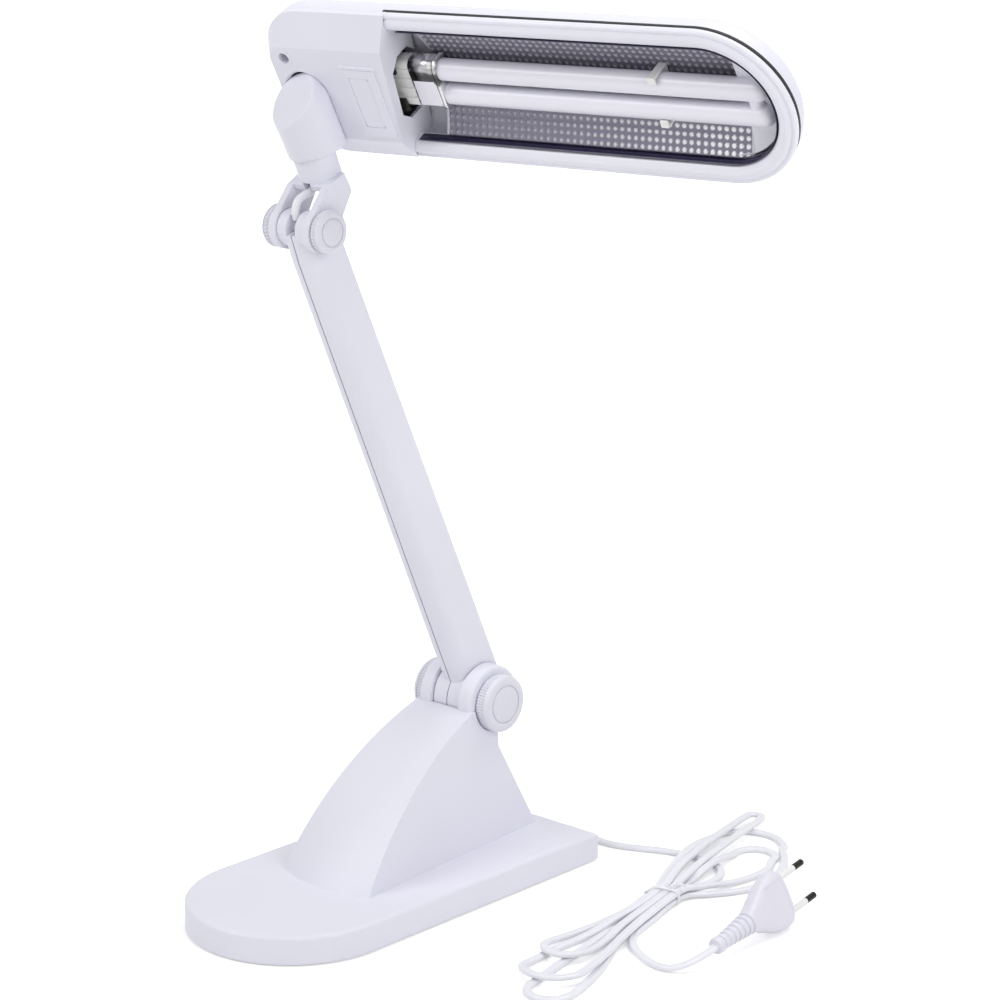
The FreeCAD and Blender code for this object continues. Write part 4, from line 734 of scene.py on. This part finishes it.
# painted shade: a grey cord stands in for the shade in the groove between the halves
seam_data = bpy.data.curves.new("parting_shade", "CURVE")
seam_data.dimensions = "3D"
seam_data.bevel_depth = 0.00024
seam_data.bevel_resolution = 1
seam = seam_data.splines.new("POLY")
seam.points.add(len(longest) - 1)
for point, place in zip(seam.points, longest):
    point.co = (place[0] / 1e5, place[1] / 1e5, place[2] / 1e5, 1)
seam.use_cyclic_u = True
seam_data.materials.append(groove_shade_grey)
parting_shade = in_scene("parting_shade", seam_data)
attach(parting_shade, "arm")
print("parting line", len(longest), "points of", len(loops), "loops")

# %% [markdown]
# ## The route of the cord
# Two metres of flat cord leave the base through a bush, run under the upper loops, fold into a
# hank of six lobes and run on to the plug. Each lobe goes out along one side and back along the
# other, and the sides fan out where the tie no longer holds them.

# %% Strands of the hank
# where the tie sits, the ways the two sets of lobes point in degrees, and the room of one strand
TIE = Vector((0.1335, 0.1005, 0))
UPWARD, DOWNWARD = 101.5, -79.0
STRAND = 0.0054
FLOOR, STEP_UP = 0.00165, 0.0037
# how a strand spreads along its lobe: (share of the reach, share of the spread)
EVEN = ((0.17, 0.0), (0.33, 0.12), (0.50, 0.42), (0.66, 0.80), (0.83, 1.0))
FAST = ((0.17, 0.35), (0.33, 0.75), (0.50, 0.92), (0.66, 1.0), (0.83, 1.0))
FULL = ((0.17, 0.16), (0.32, 0.42), (0.46, 0.68), (0.60, 0.90), (0.74, 0.98), (0.86, 0.80))
LEAF = ((0.17, 0.38), (0.26, 0.72), (0.36, 0.94), (0.48, 1.02), (0.60, 0.98), (0.74, 0.80), (0.86, 0.50))


def strand_point(turn, along, across, level):
    """A point of the hank: along its lobe, across to the +X side, and how many cords high."""
    ahead = Vector((math.cos(math.radians(turn)), math.sin(math.radians(turn)), 0))
    aside = Vector((ahead.y, -ahead.x, 0)) if turn > 0 else Vector((-ahead.y, ahead.x, 0))
    return TIE + ahead * along + aside * across + Vector((0, 0, FLOOR + STEP_UP * level))


def side(turn, reach, slot, spread, shape, lifts):
    return [strand_point(turn, reach * share, slot * STRAND + spread * wide, level)
            for (share, wide), level in zip(shape, lifts)]


def lobe(turn, reach, out, back, tip_lifts):
    """Out along one side, round the tip and back along the other side."""
    first = out[0] * STRAND + out[1] * out[2][-1][1]
    last = back[0] * STRAND + back[1] * back[2][-1][1]
    middle, half = (first + last) / 2, (first - last) / 2
    shoulder = reach - 0.59 * abs(half)
    places = [(shoulder, middle + half), (reach, middle + 0.41 * half),
              (reach, middle - 0.41 * half), (shoulder, middle - half)]
    tip = [strand_point(turn, along, across, level) for (along, across), level in zip(places, tip_lifts)]
    return side(turn, reach, *out) + tip + side(turn, reach, *back)[::-1]


def waist(slot, level, near):
    """Two points under the tie, the first on the near side."""
    return [strand_point(UPWARD, along, slot * STRAND, level + 0.25) for along in (near, -near)]


# %% Six lobes, folded one after another
flat5, flat4, flat7 = (0,) * 5, (0,) * 4, (0,) * 7
high5, high4 = (1,) * 5, (1,) * 4
hank = waist(0.5, 0, 0.011)
hank += lobe(DOWNWARD, 0.157, (0.5, 0.0205, EVEN, flat5), (-0.5, 0, EVEN, flat5), flat4)
hank += waist(-0.5, 0, -0.011)
hank += lobe(UPWARD, 0.102, (-0.5, 0.0063, FAST, (0, 0, 1, 1, 0)),
             (1.5, 0.025, FULL, (1.1, 0.4, 0, 0, 0, 0)), flat4)
hank += waist(1.5, 1, 0.011)
hank += lobe(DOWNWARD, 0.139, (1.5, 0.0095, EVEN, high5),
             (-0.5, -0.0155, EVEN, (1, 1, 0.1, 0, 0)), (1, 1, 1, 0.5))
hank += waist(-0.5, 1, -0.011)
hank += lobe(UPWARD, 0.146, (-0.5, -0.0123, FAST, high5), (0.5, -0.0072, FAST, high5), high4)
hank += waist(0.5, 1, 0.011)
hank += lobe(DOWNWARD, 0.108, (0.5, 0.001, EVEN, (1.12, 1, 1, 0.1, 0.3)),
             (-1.5, -0.0125, EVEN, (0, 0, 0, 0, 0.6)), high4)
hank += waist(-1.5, 0, -0.011)
hank += lobe(UPWARD, 0.127, (-1.5, -0.0115, FAST, (0, 0.2, 1, 1, 0)), (1.5, 0.033, LEAF, flat7), flat4)
hank += waist(1.5, 0, 0.011)
print("hank", len(hank), "points")

# %% [markdown]
# The lead leaves the bush straight and drops to the floor within three centimetres, because a cord
# this soft can't hold itself up. The tail does the same in reverse: it lifts only where the stiff
# strain relief of the plug carries it.

# %% Lead and tail
def beside(along, across):
    return strand_point(UPWARD, along, across, 0)


EXIT = Vector((0.008, 0.1326, 0.0065))
lead = [EXIT, Vector((0.008, 0.1391, 0.0065)), Vector((0.0125, 0.1466, 0.0042)),
        Vector((0.022, 0.151, 0.0023))]
lead += [Vector((x, y, FLOOR)) for x, y in ((0.034, 0.1505), (0.046, 0.148), (0.060, 0.150),
                                           (0.074, 0.1565), (0.088, 0.1633), (0.103, 0.1665))]
lead += [beside(0.067, -0.006), beside(0.0635, 0.005), beside(0.054, 0.012), beside(0.042, 0.0136),
         beside(0.027, 0.009)]
PLUG_AHEAD = Vector((-0.0748, 0.9904, 0.1159)).normalized()
PINS_AT = Vector((0.2048, 0.1271, 0.0175))
relief_end = PINS_AT - PLUG_AHEAD * 0.074
tail = [beside(-0.028, 0.0097), beside(-0.046, 0.010)]
tail += [Vector((x, y, FLOOR)) for x, y in ((0.1566, 0.047), (0.164, 0.037), (0.1775, 0.0285),
                                           (0.1915, 0.0235))]
tail += [Vector((0.2045, 0.0245, 0.0028)), relief_end - PLUG_AHEAD * 0.016, relief_end,
         relief_end + PLUG_AHEAD * 0.012]

# %% [markdown]
# ## The cord itself
# A flat cord is two round wires side by side under one sheath, which leaves a shallow groove along
# both faces. The outline is drawn once as a small closed curve, and the route carries it along.
# Twist is set to Z-Up, so the cord lies on its flat side wherever it goes.

# %% Draw the outline and sweep it
def smooth_line(curve, places):
    """A smooth open line along places, begun and ended at the first and last of them."""
    line = curve.splines.new("NURBS")
    line.points.add(len(places) - 1)
    for point, place in zip(line.points, places):
        point.co = (*place, 1)
    line.order_u = 3
    line.use_endpoint_u = True
    return line


CORD_WIDE, CORD_THICK = 0.0050, 0.0032
outline = []
for i in range(28):
    turn = 2 * math.pi * i / 28
    wide = math.copysign(abs(math.cos(turn)) ** 0.75, math.cos(turn)) * CORD_WIDE / 2
    groove = 1 - 0.30 * math.exp(-((wide / 0.00042) ** 2))
    high = math.copysign(abs(math.sin(turn)) ** 0.8, math.sin(turn)) * CORD_THICK / 2 * groove
    outline.append((wide, high))
outline_data = bpy.data.curves.new("cord_outline", "CURVE")
outline_data.dimensions = "2D"
outline_data.fill_mode = "NONE"
ring = outline_data.splines.new("POLY")
ring.points.add(len(outline) - 1)
for point, (wide, high) in zip(ring.points, outline):
    point.co = (wide, high, 0, 1)
ring.use_cyclic_u = True
cord_outline = in_scene("cord_outline", outline_data)
cord_outline.hide_render = True
cord_outline.hide_viewport = True

cord_data = bpy.data.curves.new("mains_cord", "CURVE")
cord_data.dimensions = "3D"
cord_data.twist_mode = "Z_UP"
cord_data.bevel_mode = "OBJECT"
cord_data.bevel_object = cord_outline
cord_data.use_fill_caps = True
cord_data.resolution_u = 8
smooth_line(cord_data, lead + hank + tail).resolution_u = 8
cord_data.materials.append(sheath_white)
mains_cord = in_scene("mains_cord", cord_data)
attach(mains_cord, "base")
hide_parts("cord_lead", "cord_hank", "cord_tail")

# %% [markdown]
# ## The tie
# The hank is held by a plastic-covered wire, wound twice round the waist and twisted shut on top.
# A wire is a curve with a round thickness, so only its route has to be drawn: it hugs the strands,
# then the two ends wind round each other.

# %% Wind the tie
waist_turn = Matrix.Translation(TIE) @ Matrix.Rotation(math.radians(UPWARD - 90), 4, "Z")
hug = [(-0.0109, 0.0012), (-0.0090, 0.0007), (0.0090, 0.0007), (0.0109, 0.0014), (0.0112, 0.0060),
       (0.0102, 0.0086), (0.0060, 0.0091), (-0.0010, 0.0090), (-0.0052, 0.0087), (-0.0082, 0.0058),
       (-0.0108, 0.0046)]
wires = [[waist_turn @ Vector((x, lean - 0.0008, z)) for x, z in hug + hug[:2]] for lean in (0.0, 0.0016)]
TWIST_WIDE = 0.0006
for phase in (0, math.pi):
    twisted = []
    for i in range(19):
        across = TWIST_WIDE * math.cos(phase + 0.9 * i) + 0.0003 * i
        high = 0.0102 + 0.0016 * math.sin(0.17 * i) + TWIST_WIDE * math.sin(phase + 0.9 * i)
        twisted.append(waist_turn @ Vector((0.0045 + 0.0085 * i / 18, across, high)))
    wires.append(twisted)
tie_data = bpy.data.curves.new("wire_tie", "CURVE")
tie_data.dimensions = "3D"
tie_data.bevel_depth = 0.00052
tie_data.bevel_resolution = 3
tie_data.use_fill_caps = True
for path in wires:
    smooth_line(tie_data, path)
tie_data.materials.append(tie_white)
wire_tie = in_scene("wire_tie", tie_data)
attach(wire_tie, "base")
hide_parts("cord_tie")

# %% [markdown]
# ## The moulded plug
# The plug is moulded round its pins in one soft lump: broad and flat in front, waisted towards the
# cord, with a flat grip panel on each side. Stacked rounded sections give such a body. The strain
# relief behind it is a stack of rings that let the cord bend gently.

# %% Body of the plug
PLUG_UP = Vector((-0.374, -0.1356, 0.9174))
PLUG_SIDE = PLUG_AHEAD.cross(PLUG_UP).normalized()
PLUG_UP = PLUG_SIDE.cross(PLUG_AHEAD)
PLUG = Matrix.Translation(PINS_AT) @ Matrix((PLUG_AHEAD, -PLUG_SIDE, PLUG_UP)).transposed().to_4x4()
# along the plug: its upper side, its lower side and half its thickness
STATIONS = (-0.0060, -0.0100, -0.0150, -0.0200, -0.0270, -0.0330, -0.0380, -0.0430)
TOP = tuple(zip(STATIONS, (0.0149, 0.0174, 0.0176, 0.0163, 0.0138, 0.0108, 0.0080, 0.0060)))
LOW = tuple(zip(STATIONS, (-0.0124, -0.0152, -0.0158, -0.0153, -0.0132, -0.0104, -0.0077, -0.0060)))
THICK = tuple(zip(STATIONS, (0.0058, 0.0062, 0.0063, 0.0063, 0.0062, 0.0060, 0.0058, 0.0056)))


def between(table, x):
    """A smooth value between the pairs of a table whose first numbers fall."""
    for (a, low), (b, high) in zip(table, table[1:]):
        if x >= b:
            share = min(1, max(0, (x - a) / (b - a)))
            return low + (high - low) * ((3 * share ** 2 - 2 * share ** 3) * 0.35 + share * 0.65)
    return table[-1][1]


def step(value, start, stop):
    share = min(1, max(0, (value - start) / (stop - start)))
    return share * share * (3 - 2 * share)


around, stations = 96, 56
GRIP_SUNK = 0.0006
rings = []
for i in range(stations):
    x = -0.0060 - 0.0370 * i / (stations - 1)
    top, low, half = between(TOP, x), between(LOW, x), between(THICK, x)
    close = 1 - 0.10 * (1 - step(-x, 0.0060, 0.0082))
    ring_here = []
    for j in range(around):
        turn = 2 * math.pi * j / around
        y = math.copysign(abs(math.cos(turn)) ** 0.52, math.cos(turn)) * half * close
        swing = math.copysign(abs(math.sin(turn)) ** 0.72, math.sin(turn))
        z = (top + low) / 2 + swing * (top - low) / 2 * close
        in_length = step(-x, 0.0088, 0.0094) * (1 - step(-x, 0.0250, 0.0256))
        in_height = step(z, -0.0110, -0.0104) * (1 - step(z, 0.0116, 0.0122))
        y -= math.copysign(GRIP_SUNK * in_length * in_height, y)
        ring_here.append((x, y, z))
    rings.append(ring_here)
vertices = [place for one in rings for place in one]
faces = [(i * around + (j + 1) % around, i * around + j,
          (i + 1) * around + j, (i + 1) * around + (j + 1) % around)
         for i in range(stations - 1) for j in range(around)]
faces += [tuple(range(around)), tuple(range(len(vertices) - around, len(vertices)))[::-1]]


def on_plug(name, vertices, faces):
    piece = in_scene(name, smooth_mesh(name, vertices, faces, plug_white), PLUG)
    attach(piece, "base")
    return piece


plug_shell = on_plug("plug_shell", vertices, faces)
round_edges(plug_shell, 0.0009, 3)

# %% Rings of the strain relief
profile = [(-0.0400, 0.0), (-0.0400, 0.0058)]
for i in range(7):
    begin, radius = -0.0415 - 0.0042 * i, 0.0066 * (1 - 0.055 * i)
    profile += [(begin, radius * 0.97), (begin - 0.0004, radius), (begin - 0.0024, radius),
                (begin - 0.0028, radius * 0.97), (begin - 0.0029, radius * 0.80),
                (begin - 0.0041, radius * 0.79)]
profile += [(-0.0710, 0.0047), (-0.0714, 0.0049), (-0.0745, 0.0046), (-0.0752, 0.0042), (-0.0752, 0.0)]
spin = 48
vertices = [(x, radius * math.cos(2 * math.pi * j / spin), radius * math.sin(2 * math.pi * j / spin))
            for x, radius in profile for j in range(spin)]
faces = [(i * spin + (j + 1) % spin, i * spin + j, (i + 1) * spin + j, (i + 1) * spin + (j + 1) % spin)
         for i in range(len(profile) - 1) for j in range(spin)]
relief = on_plug("plug_relief", vertices, faces)
weld(relief, 0.00001)
round_edges(relief, 0.0002, angle=40)
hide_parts("plug_body")
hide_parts("plug_body")
print("plug", [round(1000 * side, 1) for side in plug_shell.dimensions])

# %% The cord's centre line as a mesh
bare = cord_data.copy()
bare.bevel_mode = "ROUND"
bare.bevel_object = None
bare.use_fill_caps = False
ruler = in_scene("cord_ruler", bare)
bpy.context.view_layer.update()
centreline = bpy.data.meshes.new_from_object(ruler)
bpy.data.objects.remove(ruler)

# %% [markdown]
# ## Floor and light
# A white backdrop must not come from more light, or the white lamp would burn out. The floor and
# the world look white to the camera only, and the lamp is lit at a plain level by three large soft
# panels: one in front to the left, one from the right and one above.

# %% The floor
def seen_directly(nodes, links):
    """One for rays from the camera and from glossy pieces, zero for the light on the lamp."""
    rays = nodes.new("ShaderNodeLightPath")
    seen = nodes.new("ShaderNodeMath")
    seen.operation = "MAXIMUM"
    links.new(rays.outputs["Is Camera Ray"], seen.inputs[0])
    links.new(rays.outputs["Is Glossy Ray"], seen.inputs[1])
    return seen.outputs["Value"]


floor_mesh = bpy.data.meshes.new("floor")
floor_mesh.from_pydata([(-30, -30, 0), (30, -30, 0), (30, 30, 0), (-30, 30, 0)], [], [(0, 1, 2, 3)])
floor = in_scene("floor", floor_mesh)
floor.location.z = -0.0002
floor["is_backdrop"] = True
paper, nodes, links, shader = new_material("paper")
shader.inputs["Base Color"].default_value = (0.9, 0.9, 0.9, 1)
shader.inputs["Roughness"].default_value = 0.9
shader.inputs["Specular IOR Level"].default_value = 0.0
glow = nodes.new("ShaderNodeEmission")
glow.inputs["Color"].default_value = (1, 1, 1, 1)
place = nodes.new("ShaderNodeTexCoord")
far = nodes.new("ShaderNodeVectorMath")
far.operation = "LENGTH"
fade = map_range(nodes, 0.35, 1.1, 0.34, 1.0)
shown = nodes.new("ShaderNodeMath")
shown.operation = "MULTIPLY"
links.new(place.outputs["Object"], far.inputs[0])
links.new(far.outputs["Value"], fade.inputs["Value"])
links.new(fade.outputs["Result"], shown.inputs[1])
both = nodes.new("ShaderNodeAddShader")
output = next(n for n in nodes if n.type == "OUTPUT_MATERIAL")
links.new(seen_directly(nodes, links), shown.inputs[0])
links.new(shown.outputs["Value"], glow.inputs["Strength"])
links.new(shader.outputs["BSDF"], both.inputs[0])
links.new(glow.outputs["Emission"], both.inputs[1])
links.new(both.outputs["Shader"], output.inputs["Surface"])
floor_mesh.materials.append(paper)

# %% The world and the panels of light
world = bpy.data.worlds.new("studio")
bpy.context.scene.world = world
world.use_nodes = True
nodes, links = world.node_tree.nodes, world.node_tree.links
backdrop = next(n for n in nodes if n.type == "BACKGROUND")
backdrop.inputs["Color"].default_value = (1, 1, 1, 1)
strength = map_range(nodes, 0, 1, 0.42, 1.0)
links.new(seen_directly(nodes, links), strength.inputs["Value"])
links.new(strength.outputs["Result"], backdrop.inputs["Strength"])


LAMP_MIDDLE = Vector((0.05, 0, 0.2))


def panel(name, place, size, power):
    """A square panel of soft light that faces the middle of the lamp."""
    data = bpy.data.lights.new(name, "AREA")
    data.size = size
    data.energy = power
    light = in_scene(name, data)
    light.location = place
    light.rotation_euler = (LAMP_MIDDLE - Vector(place)).to_track_quat("-Z", "Y").to_euler()


panel("front_panel", (-0.7, -1.5, 1.6), 1.1, 16)
panel("right_panel", (1.7, -0.3, 0.9), 1.0, 10)
panel("top_panel", (0.3, 0.5, 1.9), 1.4, 14)
bpy.context.scene.view_settings.view_transform = "Standard"

# %% Finish
low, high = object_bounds()
